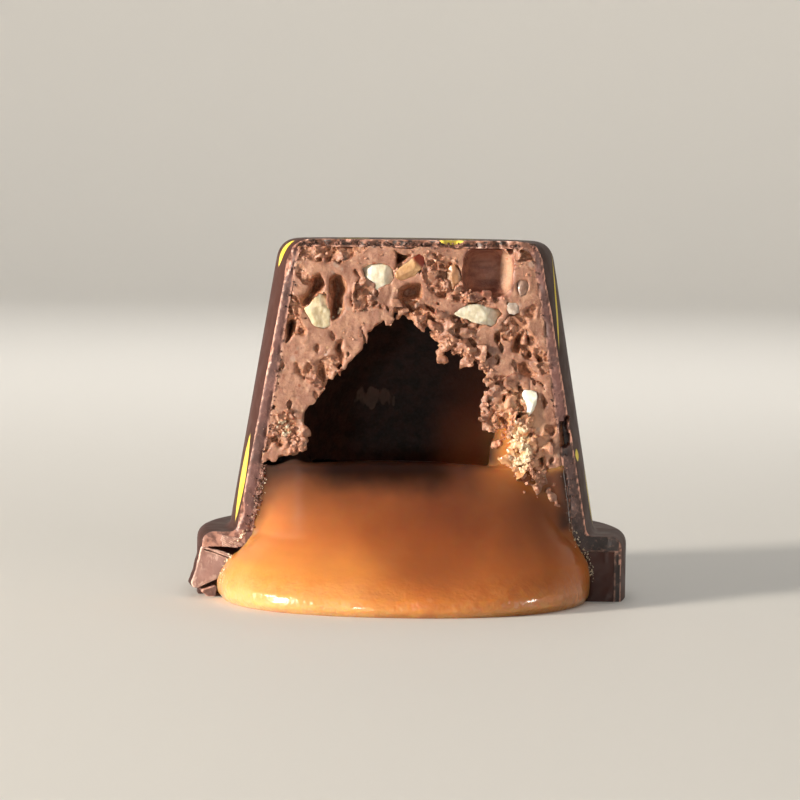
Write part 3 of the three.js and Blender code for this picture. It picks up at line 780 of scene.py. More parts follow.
def running_caramel():
    """Soft caramel in painted light and shade: lit at the left, darker to the right, with a painted shadow
    patch in the middle and near black under the hollow.
    """
    look = Look("running caramel")
    broad = look.noise(7.0, 2.0)
    fine = look.noise(1.8, 2.0, (1.0, 0.5, 1.0), 4.0)
    x, y, z = look.millimetres()
    height = z + (broad - 0.5) * 2.4 + (fine - 0.5) * 0.8
    sunny, shaded = (look.node("ShaderNodeValToRGB", {"stops": stops}, [height / 10.0])
                     for stops in (SUNNY_CARAMEL, SHADED_CARAMEL))
    # Painted light and shade: the lit colour at the left gives way to the shaded colour towards the right.
    colour = look.mix((x + (broad - 0.5) * 5.0).ramp(-12.0, 1.5), sunny, shaded)
    climbing = z.ramp(9.3, 10.3) * x.ramp(3.0, 4.0)
    rim = x.ramp(-7.5, -9.0) * z.ramp(4.2, 5.6)
    flank = x.ramp(7.5, 10.5) * z.ramp(1.2, 2.6) * 0.8
    # Painted shade, near black, over the hollow's mouth; then painted golden light at the right.
    mouth = (z + (fine - 0.5) * 0.8).ramp(7.6, 9.6) * (1.0 - ((x + 2.2) / 6.0) ** 2.0).ramp(0.0, 0.7)
    golden = x.ramp(3.6, 6.5) * z.ramp(6.0, 9.8) * x.ramp(11.0, 9.0) * 0.7
    # Painted shade behind the cut under the hollow's roof, and a painted shadow patch in the middle.
    painted_shade_under_roof = y.ramp(CUT_Y - 1.0, CUT_Y + 1.5) * x.ramp(5.5, 3.5)
    painted_shadow_patch = (spot(x, z, (0.8, 4.9), (5.5, 3.4)) + (broad - 0.5)).ramp(0.0, 0.9)
    right_edge = x.ramp(10.2, 11.2) * z.ramp(4.9, 5.7)
    # The caramel on the right wall goes from painted shade at its left to golden at its right.
    on_wall = look.mix(x.ramp(5.5, 7.4), "1a0b06", "c9803f")
    for share, tint in ((painted_shade_under_roof * 0.85, "1c0e0a"), (painted_shadow_patch * 0.3, "5f2412"), (right_edge * 0.8, "2f1a15"),
                        (mouth * 0.92, "180a07"), (golden, "b9713a"), (climbing, on_wall)):
        colour = look.mix(share, colour, tint)
    wrinkle = look.noise(0.9, 2.0, (0.7, 1.0, 1.0), 5.0) * 3.0 + look.noise(0.35, 1.0, seed=6.0)
    matt = climbing.larger(rim)
    return look.finish(
        bump=look.noise(2.6, 2.0, seed=2.0) + z.ramp(3.6, 0.8) * wrinkle, bump_mm=0.07, Base_Color=colour,
        Roughness=0.28 + matt * 0.6, IOR=1.47, Specular_IOR_Level=0.3,
        Coat_Weight=0.8 - matt.larger(mouth).larger(flank) * 0.8, Coat_Roughness=0.11,
        Subsurface_Weight=0.85, Subsurface_Radius=(1.0, 0.36, 0.10), Subsurface_Scale=3.2 * MM)


# Each nut piece's flesh, light and dark.
NUT_LOOKS = {
    "ivory": ("e6d9bb", "cdb991"), "green ivory": ("e0d9c6", "c9bfa4"), "white": ("f8f4e8", "efe6cf"),
    "skinned": ("cfa67a", "b3855a"), "grey": ("9a7a6a", "7b5c4e"), "pale grey": ("cfbfb2", "a8968a"),
    "tan": ("b98a66", "9a6d4c"),
}


def nut_flesh(kind):
    """Chopped nut, with a strip of brown skin on the one piece that kept it."""
    look = Look("nut, " + kind)
    light, dark = NUT_LOOKS[kind]
    grain = look.noise(0.35, 3.0, (1.0, 1.0, 0.6), 1.0)
    colour = look.mix(grain.ramp(0.35, 0.7), light, dark)
    if kind == "skinned":
        x, _, z = look.millimetres()
        colour = look.mix((x * 0.7 + z * 0.7).ramp(17.15, 17.45), colour, "7e2f1e")
    return look.finish(bump=grain, bump_mm=0.05, Base_Color=colour,
                       Roughness=look.noise(0.5, 2.0, seed=2.0).ramp(0.3, 0.7, 0.25, 0.4),
                       Subsurface_Weight=0.45, Subsurface_Radius=(1.0, 0.8, 0.5), Subsurface_Scale=0.8 * MM)


MOULDED = moulded_chocolate()
CUT_SHELL = cut_chocolate("cut shell", "6f4842", "50322d", "dca48e", "1a0e0c", (1.7, 3.45))
CUT_BASE = cut_chocolate("broken base", "6a463b", "54352c", "c99a88", "1a0e0c")
CORNER_CUT = broken_face()
PRALINE_CRUMB = crumb_look("praline crumb", "dca588", "b98468", 0.7)
CHOCOLATE_CRUMB = crumb_look("chocolate crumb", "8a5f50", "432a22")
NUT_GRIT = crumb_look("white nut grit", "eee2cc", "d8c4a0")
PRALINE = nut_praline()
CARAMEL = running_caramel()


# ================= The shell, its base and the broken corner =================
def cone_radius(z):
    """The cone's outside at a height."""
    return NECK_RADIUS - DRAFT * (z - BRIM_HEIGHT)


def outside_profile():
    """The shell's outside from the middle of the floor to the middle of the top, as (radius, z)."""
    neck, top = BRIM_HEIGHT + NECK_ROUND, HEIGHT - TOP_ROUND
    return [(0, 0), (BRIM_RADIUS, 0), (BRIM_RADIUS, 1.3), (BRIM_RADIUS, 2.6),
            *soft_corner((BRIM_RADIUS, BRIM_HEIGHT - BRIM_ROUND), (BRIM_RADIUS, BRIM_HEIGHT),
                         (BRIM_RADIUS - BRIM_ROUND, BRIM_HEIGHT), 9),
            *soft_corner((NECK_RADIUS + NECK_ROUND, BRIM_HEIGHT), (NECK_RADIUS, BRIM_HEIGHT),
                         (cone_radius(neck), neck), 7),
            *[(cone_radius(z), z) for z in np.linspace(neck, top, 8)[1:-1]],
            *soft_corner((cone_radius(top), top), (TOP_RADIUS, HEIGHT), (TOP_RADIUS - TOP_ROUND, HEIGHT), 11),
            (5.0, HEIGHT), (2.0, HEIGHT), (0, HEIGHT)]


def inner_radius(z):
    """The radius of the shell's inside at a height, which the filling meets."""
    return cone_radius(z) - WALL_LOW + THINNING * (z - BRIM_HEIGHT)


def inside_profile():
    """The room in the shell's cone, from the floor to the ceiling."""
    ceiling = HEIGHT - TOP_WALL
    return [(0, 0), (inner_radius(0), 0),
            *[(inner_radius(z), z) for z in np.linspace(4, ceiling - 1, 6)],
            *soft_corner((inner_radius(ceiling - 1), ceiling - 1), (inner_radius(ceiling), ceiling),
                         (inner_radius(ceiling) - 1, ceiling), 6), (0, ceiling)]


def edge_gap(x, z):
    """How far a place on the cut is inside the shell's outline."""
    radius = np.where(z < BRIM_HEIGHT, BRIM_RADIUS, cone_radius(z))
    aside = np.sqrt(np.maximum(radius**2 - CUT_Y**2, 0.01)) - np.abs(x)
    above = HEIGHT - z
    corner = TOP_ROUND * 0.8
    rounded = corner - np.hypot(corner - aside, corner - above)
    return np.where((aside < corner) & (above < corner), rounded, np.minimum(aside, above))


# The cut face as a sheet: where the shell's edge chipped, and the relief that the knife left.
SHEET = Space(np.arange(-17.2, 17.3, 0.11), [0.0], np.arange(-0.6, 27.3, 0.11))


def chip_width():
    """How wide the chipped line along the shell's outer edge is at each place on the sheet."""
    rough = SHEET.noise(1.2, 15, True) + 0.4 * SHEET.noise(0.4, 16, True)
    return (0.035 + 0.30 * np.clip(rough - 0.35, 0, 0.9) + 0.02 * SHEET.noise(0.3, 17, True))[:, 0]


CHIPS = chip_width()


def on_sheet(values, x, z):
    """Values of a sheet at places on the cut."""
    return sample(SHEET, np.repeat(values[:, None, :], 2, 1), np.stack([x, 0 * x, z], 1))


def knife_face(seed):
    """What the knife took away, with the fine relief that it left on the chocolate."""
    x, z = SHEET.axes[0], SHEET.axes[2]
    fine = (0.030 * SHEET.noise(0.5, seed, True) + 0.022 * SHEET.noise(0.25, seed + 1, True))[:, 0]
    broad = 0.05 * SHEET.noise(2.2, seed + 2, True)[:, 0]
    gap = edge_gap(x[:, None], z[None, :])
    chipped = smooth(1.0, 0.55, gap / CHIPS) * (0.05 + 0.8 * CHIPS)
    wall = WALL_LOW - THINNING * (z - BRIM_HEIGHT)
    seam = np.where(HEIGHT - z < 1.2, np.abs(HEIGHT - z - TOP_WALL), np.abs(gap - wall))
    crumble = smooth(0.30, 0.05, seam) * 0.16 * np.clip(SHEET.noise(0.45, seed + 4, True)[:, 0], 0, 1.6)
    top = smooth(0.9, 0.6, HEIGHT - z)[None, :] * smooth(9.6, 9.0, np.abs(x))[:, None]
    flakes = (0.14 + 0.22 * SHEET.noise(0.5, seed + 3, True) + 0.14 * SHEET.noise(0.26, seed + 6, True))[:, 0]
    notch = np.hypot((x[:, None] - 11.05) / 0.5, (z[None, :] - 12.3) / 1.05)
    notch = notch + (0.45 * SHEET.noise(0.5, seed + 5, True) + 0.25 * SHEET.noise(0.25, seed + 7, True))[:, 0]
    return (CUT_Y + 0.03 + fine + broad + chipped + crumble + top * np.maximum(flakes, -0.1)
            + smooth(1.0, 0.85, notch) * 1.3)


def knife(seed):
    """The knife's room in front of the cut, as a box whose back is the knife's face."""
    x, z = SHEET.axes[0], SHEET.axes[2]
    depth = knife_face(seed)
    nx, nz = len(x), len(z)
    face = np.stack([np.repeat(x, nz), depth.ravel(), np.tile(z, nx)], 1)
    wall = CUT_Y - 14.0
    box = [(x[0], wall, z[0]), (x[-1], wall, z[0]), (x[-1], wall, z[-1]), (x[0], wall, z[-1])]
    index = np.arange(nx * nz).reshape(nx, nz)
    squares = np.stack([index[:-1, :-1], index[:-1, 1:], index[1:, 1:], index[1:, :-1]], -1)
    faces = squares.reshape(-1, 4).tolist()
    n = nx * nz
    faces.append([n, n + 1, n + 2, n + 3])
    faces.append([n, n + 3, *index[0, ::-1].tolist()])
    faces.append([n + 1, *index[-1, :].tolist(), n + 2])
    faces.append([n, *index[:, 0].tolist(), n + 1])
    faces.append([n + 3, n + 2, *index[::-1, -1].tolist()])
    return marked(new_piece("knife", np.concatenate([face, box]), faces, MOULDED, CUT_SHELL))


def marked(tool):
    """The tool with its faces in the second material slot, so that what it cuts gets the cut finish."""
    tool.data.polygons.foreach_set("material_index", [1] * len(tool.data.polygons))
    return tool


CORNER_BACK = -2.6  # how far back the corner broke away at the cut's left


def corner_room(grow=0.0):
    """The room under the brim's edge at the left of the cut, where the corner broke away."""
    step = 0.11
    room = Space(np.arange(-17.4, -11.0, step), np.arange(-6.4, 0.0, step), np.arange(-1.2, 4.6, step))
    rough = 0.09 * room.noise(0.7, 31) + 0.05 * room.noise(0.3, 32)
    sides = np.maximum(room.x + 11.9, room.y - CORNER_BACK - 0.3 * (room.x + 14))
    top = room.z - 3.62 - 0.05 * (room.x + 15.0)
    field = np.maximum(np.maximum(sides, top) + rough - grow, np.maximum(-17.2 - room.x, -6.2 - room.y))
    field = np.maximum(field, -1.0 - room.z)
    return marked(new_piece("corner", *skin(room, field), MOULDED, CUT_SHELL))


def positions(piece):
    """The piece's points, in millimetres, as three rows."""
    points = np.empty(len(piece.data.vertices) * 3, np.float32)
    piece.data.vertices.foreach_get("co", points)
    return points.reshape(-1, 3).T / MM


def crushed_edge(piece, strength=1.0):
    """Marks how crushed each point of a cut face is: on its chipped edge, in its top and along its seams."""
    x, y, z = positions(piece)
    gap = edge_gap(x, z)
    near = smooth(CUT_Y + 1.2, CUT_Y + 0.8, y)
    outer = np.maximum(smooth(1.1, 0.9, gap / on_sheet(CHIPS, x, z)), smooth(0.06, 0.02, gap))
    outer = outer * (1 - 0.8 * smooth(0.12, 0.26, gap)) * strength
    wall = WALL_LOW - THINNING * (z - BRIM_HEIGHT)
    inner = smooth(0.12, 0.05, np.abs(gap - wall)) * (z > BRIM_HEIGHT) * 0.7 * strength
    slab = (x < -12.2) * (z > 3.5) * (z < 4.9) * 0.5
    under = smooth(0.07, 0.03, np.abs(z - (BRIM_HEIGHT - BRIM_LAYER) - 0.05 * np.sin(x * 5)))
    beside = smooth(0.07, 0.03, np.abs(gap - BRIM_SKIN)) * (z < 3.8)
    seam = np.maximum(under, beside) * (x > 12.6) * (z < 4.2) * 0.5
    paint_points(piece, "crushed", np.maximum.reduce([outer, inner, seam, slab]) * near)
    paint_points(piece, "crumbly", near * smooth(0.75, 0.5, HEIGHT - z))


def make_shell():
    """The moulded shell: turned whole, hollowed, then cut by the knife and broken at its left corner."""
    steps = 320
    shell = turned("shell_moulded", outside_profile(), steps, MOULDED, CUT_SHELL)
    brim_room = [(0, -1), (BRIM_RADIUS - BRIM_SKIN, -1), (BRIM_RADIUS - BRIM_SKIN, BRIM_HEIGHT - BRIM_LAYER),
                 (0, BRIM_HEIGHT - BRIM_LAYER)]
    for profile in (brim_room, inside_profile()):
        cut_away(shell, marked(turned("room", profile, 128, MOULDED, CUT_SHELL)))
    cut_away(shell, knife(11))
    cut_away(shell, corner_room())
    crushed_edge(shell)
    return sharpen(shell, 40)


def make_base():
    """The plate and ring of chocolate that close the shell's foot, with the same cut and broken corner."""
    ring_top = BRIM_HEIGHT - BRIM_LAYER - 0.03
    radius = BRIM_RADIUS - BRIM_SKIN - 0.02
    profile = [(0, 0), (radius, 0), (radius, ring_top), (BASE_RING_INSIDE, ring_top),
               (BASE_RING_INSIDE - 1, BASE_PLATE), (0, BASE_PLATE)]
    base = turned("base_block", profile, 160, CUT_BASE, CUT_BASE)
    cut_away(base, knife(21))
    cut_away(base, corner_room(0.05))
    crushed_edge(base, 0.3)
    return sharpen(base, 40)


# The broken corner as it shows at the cut, swung out about its upper edge, and its skin's inner line.
CORNER_FACE = [(-15.2, 3.72), (-13.3, 3.16), (-12.75, 2.5), (-13.2, 1.55), (-14.2, 1.28), (-15.62, 0.62),
               (-15.95, 0.68), (-16.12, 0.95), (-15.84, 1.87), (-15.6, 2.72), (-15.38, 3.62)]
CORNER_LINE = [(-15.15, 3.45), (-14.5, 3.28), (-13.0, 2.72)]
SPLINTER_FACE = [(-15.25, 0.48), (-14.34, 0.84), (-14.18, 0.7), (-14.3, 0.0), (-14.85, 0.0), (-15.25, 0.28)]
# Slivers at the end of the brim's broken top: (x, z, length, thickness, angle).
SLIVERS = [(-13.25, 4.30, 1.3, 0.16, -4), (-13.1, 4.02, 1.5, 0.15, -12), (-13.3, 3.78, 1.2, 0.13, -8),
           (-12.85, 4.2, 0.8, 0.12, 14), (-13.6, 4.1, 0.9, 0.12, -20)]


def broken_bit(name, outline, front, back, rough, *materials):
    """A flat broken bit with an outline at the cut, its front and back, and its crushed rim marked."""
    step = 0.05
    xs, zs = zip(*outline)
    room = Space(np.arange(min(xs) - 0.3, max(xs) + 0.3, step), np.arange(front - 0.3, back + 0.3, step),
                 np.arange(min(zs) - 0.3, max(zs) + 0.3, step))
    wobble = room.noise(0.6, 41) + 0.5 * room.noise(0.25, 42)
    rim = room.outline(outline) + 0.7 * rough * wobble
    field = -melt(-rim, -(front - room.y + 0.35 * rough * wobble), 0.07)
    field = np.maximum(field, room.y - back + 2 * rough * wobble)
    groove = np.maximum(room.line(CORNER_LINE) - 0.045, room.y - front - 0.35)
    field = np.maximum(np.maximum(field, -groove), -room.z).astype(np.float32)
    points, quads = skin(room, field)
    inside = sample(room, -rim, points)
    skin_line = np.repeat(room.line(CORNER_LINE), len(room.axes[1]), 1)
    line = sample(room, skin_line, points)
    points[:, 0] -= np.sqrt(BRIM_RADIUS**2 - points[:, 1] ** 2) - math.sqrt(BRIM_RADIUS**2 - CUT_Y**2)
    bit = new_piece(name, points, quads, *materials)
    facing = points[:, 1] < front + 0.3
    paint_points(bit, "crushed", np.maximum(smooth(0.10, 0.03, inside), smooth(0.12, 0.07, line)) * facing)
    return bit


def make_corner():
    """The block that broke off the brim, and the splinter below it."""
    block = broken_bit("brim_corner_block", CORNER_FACE, CUT_Y + 0.03, -3.4, 0.05, CORNER_CUT, MOULDED)
    x, y, z = positions(block)
    outer = np.interp(z, [0.6, 0.95, 1.87, 2.72, 3.62], [-15.9, -16.12, -15.84, -15.6, -15.38])
    shift = np.sqrt(BRIM_RADIUS**2 - y**2) - math.sqrt(BRIM_RADIUS**2 - CUT_Y**2)
    outside = (x + shift - outer < 0.05) & (y > CUT_Y + 0.16)
    block.data.polygons.foreach_set("material_index", [int(outside[list(face.vertices)].all())
                                                       for face in block.data.polygons])
    chip = broken_bit("brim_splinter_chip", SPLINTER_FACE, CUT_Y + 0.12, -2.95, 0.06, CUT_BASE)
    return sharpen(block, 35), sharpen(chip, 35)


def make_slivers():
    """Thin splinters that stand off the broken end of the brim's top."""
    step = 0.045
    room = Space(np.arange(-14.5, -12.1, step), np.arange(-5.0, -3.9, step), np.arange(3.4, 4.8, step))
    field = np.ones([len(axis) for axis in room.axes], np.float32)
    for i, (x, z, length, thickness, angle) in enumerate(SLIVERS):
        turn = math.radians(angle)
        along = (room.x - x) * math.cos(turn) + (room.z - z) * math.sin(turn)
        across = (room.z - z) * math.cos(turn) - (room.x - x) * math.sin(turn)
        taper = thickness * (1 - 0.5 * np.clip(along / length, -1, 1))
        depth = np.abs(room.y - CUT_Y - 0.08 - 0.03 * i) - 0.16
        bit = np.maximum(np.maximum(np.abs(across) - taper, np.abs(along) - length / 2), depth)
        field = np.minimum(field, bit)
    field = field + 0.03 * room.noise(0.3, 45)
    slivers = new_piece("brim_slivers", *skin(room, field.astype(np.float32)), CORNER_CUT)
    x, y, z = positions(slivers)
    paint_points(slivers, "crushed", 0.25 + 0.6 * (np.sin(x * 23 + z * 41) > 0.3))
    return sharpen(slivers, 30)


# ================= Praline =================
def facets(room, size, seed, steep, jump):
    """A relief of small broken planes, the same at every depth."""
    draw = np.random.default_rng(seed)
    x, z = room.axes[0], room.axes[2]
    count = int((x[-1] - x[0]) * (z[-1] - z[0]) / size**2)
    px, pz = draw.uniform(x[0], x[-1], count), draw.uniform(z[0], z[-1], count)
    slopes, heights = draw.normal(0, steep, (2, count)), draw.normal(0, jump, count)
    warp_x = x[:, None] + 0.3 * size * room.noise(size * 0.5, seed + 1, True)[:, 0]
    warp_z = z[None, :] + 0.3 * size * room.noise(size * 0.5, seed + 2, True)[:, 0]
    relief = np.empty(warp_x.shape, np.float32)
    for i in range(len(x)):
        away = ((warp_x[i][:, None] - px) ** 2 + (warp_z[i][:, None] - pz) ** 2).argmin(1)
        relief[i] = heights[away] + slopes[0][away] * (x[i] - px[away]) + slopes[1][away] * (z - pz[away])
    return relief[:, None, :]


def hollow_field(room, clearance=0.0):
    """The hollow behind the cut and its opening, with a ragged mouth and calmer walls behind it."""
    rough = 0.18 * room.noise(0.9, 51) + 0.16 * room.noise(0.42, 52) + 0.10 * room.noise(0.22, 53)
    ragged = rough * (0.2 + 0.8 * smooth(1.4, 0.3, room.y - CUT_Y)) + 0.15 * room.noise(3.0, 54)
    mouth = np.maximum(room.outline(OPENING) + clearance, room.y - CUT_Y - OPENING_DEPTH)
    z, radii = np.array(HOLLOW_PROFILE).T
    round_radius = np.interp(room.z, z, radii)
    bell = (np.hypot(room.x - HOLLOW_AXIS[0], room.y - HOLLOW_AXIS[1]) - round_radius) * 0.9
    bell = np.maximum(bell, room.z - HOLLOW_TOP)
    return melt(mouth, bell + clearance, 1.2) + ragged


def crumb(room, field, x, y, z, radius, seed):
    """Adds one angular crumb to a field, in its own small part of the room."""
    span, part = room.near((x, y, z), radius * 1.6)
    if min(field[span].shape) < 3:
        return
    draw = np.random.default_rng(seed)
    sides = draw.normal(size=(10, 3))
    sides /= np.linalg.norm(sides, axis=1)[:, None]
    shape = -1e9
    for (a, b, c), reach in zip(sides, radius * draw.uniform(0.55, 1.0, 10)):
        shape = np.maximum(shape, a * (part.x - x) + b * (part.y - y) + c * (part.z - z) - reach)
    lumps = 0.22 * radius * part.noise(max(radius * 0.6, 0.2), seed)
    shape = shape + lumps + 0.035 * part.noise(0.2, seed + 1)
    field[span] = melt(field[span], shape, 0.04)


def praline_room():
    """The praline's sample box, fine at the cut and wider step by step behind it."""
    fine = 0.105
    y = [CUT_Y - 0.75]
    while y[-1] < 12.6:
        y.append(y[-1] + fine * (1 + max(0.0, y[-1] + 2.6) * 0.30))
    return Space(np.arange(-12.3, 12.7, fine), y, np.arange(5.9, 25.95, fine))


def praline_face(room):
    """How far back the knife's face lies: smeared flats with a raised rim, and broken where they tore."""
    x, z = room.x, room.z
    ridge = room.noise(0.7, 63, True, (1, 1, 1.8))
    level = room.noise(1.9, 61, True) + 0.6 * room.noise(0.8, 62, True) + 0.16 * room.noise(0.3, 60, True)
    level = level - 0.8 * np.exp(-(((x + 5.2) / 2.6) ** 2) - ((z - 24.5) / 0.8) ** 2)
    torn_off = smooth(0.52, 0.60, level)
    rim = np.exp(-(((level - 0.46) / 0.06) ** 2)) * 0.05
    broken = facets(room, 0.62, 64, 0.35, 0.09)
    small = facets(room, 0.34, 65, 0.30, 0.06)
    face = CUT_Y + 0.04 + 0.06 * room.noise(3.0, 66, True) + 0.022 * ridge - rim
    face = face + 0.018 * room.noise(0.3, 67, True, (0.7, 1, 2.2))
    flake = (room.noise(1.5, 58, True, (1, 1, 1.7)) * 1.9 + 0.35 * ridge) % 1.0
    fold = np.abs(room.noise(0.9, 59, True, (1, 1, 1.9)) + 0.2 * ridge)
    calm = 0.25 + 0.75 * smooth(-0.1, 0.5, room.noise(2.6, 57, True))
    face = face + calm * (0.06 * smooth(0.09, 0.0, fold) - 0.06 * flake**2)
    face = face + torn_off * (0.30 + broken + small)
    for set_back, height, _, outline in TORN_FIELDS:
        mask = smooth(0.10, -0.10, room.outline(outline) + 0.22 * ridge)
        face = face + mask * (set_back + height * (broken / 0.11 + small / 0.11) * 0.62)
    return face


def praline_wall(room):
    """The praline's outer wall and lid, smeared a little over the shell at the cut."""
    smear = 0.06 + 0.10 * room.noise(1.1, 68, True) + 0.05 * room.noise(0.4, 69, True)
    at_cut = room.y - CUT_Y < 0.5
    wall = np.hypot(room.x, room.y) - inner_radius(room.z) - np.where(at_cut, smear, -0.03)
    lid = room.z - (HEIGHT - TOP_WALL) - np.where(at_cut, 1.4 * smear, -0.03)
    return np.maximum(wall * 0.99, lid)


def tear_open(room, field):
    """The field with the torn holes, the cracks, the scoop and the nuts' seats cut into it."""
    x, z = room.x, room.z
    into = room.y - CUT_Y
    jag = 0.10 * room.noise(0.5, 71) + 0.06 * room.noise(0.24, 72)
    for depth, closing, outline in TORN:
        sides = room.outline(outline) + closing * np.maximum(into, 0) - 0.05
        field = np.maximum(field, -(np.maximum(sides, into - 1.2 * depth) + jag))
    for half_width, depth, line in CRACKS:
        slit = room.line(line) - half_width * (1.3 - into / depth) + 0.5 * jag
        field = np.maximum(field, -np.maximum(slit, into - depth))
    (cx, cz), (hx, hz), depth = SCOOP
    bed = np.abs(x - cx) / hx
    bed = np.where(x > cx, bed**1.7, bed**3)
    bed = bed + (np.abs(z - cz) / hz) ** 3 + (np.maximum(into, -1) / depth) ** 2
    bed = (np.cbrt(np.maximum(bed, 0)) - 1) * 1.6
    field = carve(field, bed + 0.05 * room.noise(1.6, 73) + 0.25 * jag * smooth(0.6, 0.0, into), 0.03)
    for outline, *_ in NUTS.values():
        field = np.maximum(field, -np.maximum(room.outline(outline) + 0.04, into - 1.1))
    return field


def prick(room, field, draw):
    """Cuts one small leaning pore, at a random place on the cut."""
    px, pz = draw.uniform(-10.5, 11), draw.uniform(8, 25)
    size, tall, deep = draw.uniform(0.08, 0.22), draw.uniform(0.8, 2.2), draw.uniform(0.3, 0.7)
    span, part = room.near((px, CUT_Y + 0.05, pz), size * 3.5)
    if min(field[span].shape) > 2:
        lean = draw.uniform(-0.4, 0.4)
        across = np.abs(part.x - px - lean * (part.z - pz)) / size + np.abs(part.z - pz) / (size * tall)
        pore = np.maximum(across - 1.1, (part.y - CUT_Y - deep) / size)
        field[span] = np.maximum(field[span], -pore * size)


def crumble(room, field, draw):
    """Adds the crumbs that stand out: the drawn ones, then loose ones over each crumbly place."""
    for i, (px, pz, radius, out) in enumerate(CLUMPS):
        crumb(room, field, px, CUT_Y + 0.45 * radius - out, pz, radius, 100 + i)
    for number, (set_back, _, density, outline) in enumerate(TORN_FIELDS):
        xs, zs = zip(*outline)
        for i in range(int(density * (max(xs) - min(xs)) * (max(zs) - min(zs)))):
            px, pz = draw.uniform(min(xs), max(xs)), draw.uniform(min(zs), max(zs))
            radius = (0.13 + 0.28 * draw.random() ** 2) * min(1.0, 2.0 / math.sqrt(density))
            out = draw.uniform(-0.1, 0.45)
            room_aside = math.sqrt(inner_radius(pz) ** 2 - CUT_Y**2) - radius
            if encloses(outline, px, pz) and abs(px) < room_aside:
                crumb(room, field, px, CUT_Y + set_back - out, pz, radius, 1000 * (number + 1) + i)


def make_praline():
    """The praline behind its knife face, with its hollow, its holes and its crumbs."""
    room = praline_room()
    draw = np.random.default_rng(5)
    into = room.y - CUT_Y
    body = praline_wall(room)
    foot = (8.15 - 0.15 * room.x + 0.25 * room.noise(0.9, 70)) - room.z
    hollow = hollow_field(room)
    field = np.maximum(np.maximum(body, praline_face(room) - room.y), foot)
    field = tear_open(room, np.maximum(field, -hollow))
    for _ in range(PORES):
        prick(room, field, draw)
    crumble(room, field, draw)
    crumbly = sum(smooth(0.2, -0.2, room.outline(outline)) for *_, outline in TORN_FIELDS[:2])
    grain = 0.03 * room.noise(0.45, 74) + 0.045 * room.noise(0.24, 75)
    field = field + crumbly * smooth(2.5, 1.0, into) * grain
    field = np.maximum(np.maximum(field, body), foot - 0.5)
    points, quads = skin(room, largest(field))
    praline = new_piece("nut_praline", points, quads, PRALINE)
    thin_out(praline, points[:, 1] > CUT_Y + 2.0, 0.45)
    points = positions(praline).T
    behind = points[:, 1] - CUT_Y
    in_hollow = sample(room, hollow.astype(np.float32), points) < 0.6
    # The hollow's wall is marked wet; its colour also carries painted shade and painted light.
    paint_points(praline, "wet", smooth(0.9, 2.2, behind) * in_hollow)
    paint_points(praline, "torn", smooth(0.10, 0.30, behind))
    return sharpen(praline, 50)


def largest(field):
    """The field with loose specks away from the main body removed."""
    inside = field < 0
    label = np.zeros(inside.shape, bool)
    seed = np.unravel_index(np.argmin(field), field.shape)
    label[seed] = True
    while True:
        grown = label.copy()
        for axis in range(3):
            forward, backward = [slice(None)] * 3, [slice(None)] * 3
            forward[axis], backward[axis] = slice(1, None), slice(0, -1)
            grown[tuple(forward)] |= grown[tuple(backward)]
            grown[tuple(backward)] |= grown[tuple(forward)]
            grown &= inside
        if (grown == label).all():
            break
        label = grown
    return np.where(inside & ~label, 0.02, field).astype(np.float32)


# ================= Nuts =================
def make_nut(name, outline, out, slopes, kind):
    """A chopped nut with its outline and a sloping face at the cut, and five random facets round it."""
    step = 0.06
    xs, zs = zip(*outline)
    room = Space(np.arange(min(xs) - 0.3, max(xs) + 0.3, step), np.arange(CUT_Y - 0.7, CUT_Y + 1.5, step),
                 np.arange(min(zs) - 0.3, max(zs) + 0.3, step))
    seed = 200 + sum(map(ord, name))
    draw = np.random.default_rng(seed)
    cx, cz = (min(xs) + max(xs)) / 2, (min(zs) + max(zs)) / 2
    half = min(max(xs) - min(xs), max(zs) - min(zs)) / 2
    u, v, w = room.x - cx, room.z - cz, room.y - CUT_Y
    rim = room.outline(outline) + 0.05 * room.noise(0.4, seed + 2, True)
    rim = rim + 0.03 * room.noise(0.2, seed + 3, True)
    face = -out + slopes[0] * u + slopes[1] * v - w
    field = -melt(-(rim + 0.10 * np.maximum(w, 0)), -face, 0.12)
    for _ in range(5):
        turn, tilt = draw.uniform(0, 2 * math.pi), math.radians(draw.uniform(15, 40))
        side = u * math.cos(turn) + v * math.sin(turn)
        facet = (side - half * draw.uniform(0.3, 0.8)) * math.sin(tilt) + (-w - out) * math.cos(tilt)
        field = -melt(-field, -facet, 0.03)
    field = np.maximum(field, w - 1.15)
    field = field + 0.025 * room.noise(0.35, seed) + 0.015 * room.noise(0.16, seed + 1)
    points, quads = skin(room, largest(field.astype(np.float32)))
    return sharpen(new_piece(name + "_chopped", points, quads, nut_flesh(kind)), 28)


# ================= Caramel =================
def flow_field(room):
    """The tongue in front of the cut, as round sections about a line a little behind it."""
    x, y, z = room.x, room.y, room.z
    reach, left, right = (np.interp(z, FLOW[:, 0], row) for row in FLOW.T[1:])
    set_back = 2.2
    forward = np.maximum(CUT_Y + set_back - y, 0) / np.maximum(reach + set_back, 0.4)
    half = np.where(x < 0, left, right)
    power = np.where(x < 0, 2.45, 2.15)
    around = (np.abs(x / half) ** power + forward**power) ** (1 / power)
    return (around - 1) * np.minimum(half, reach + set_back)


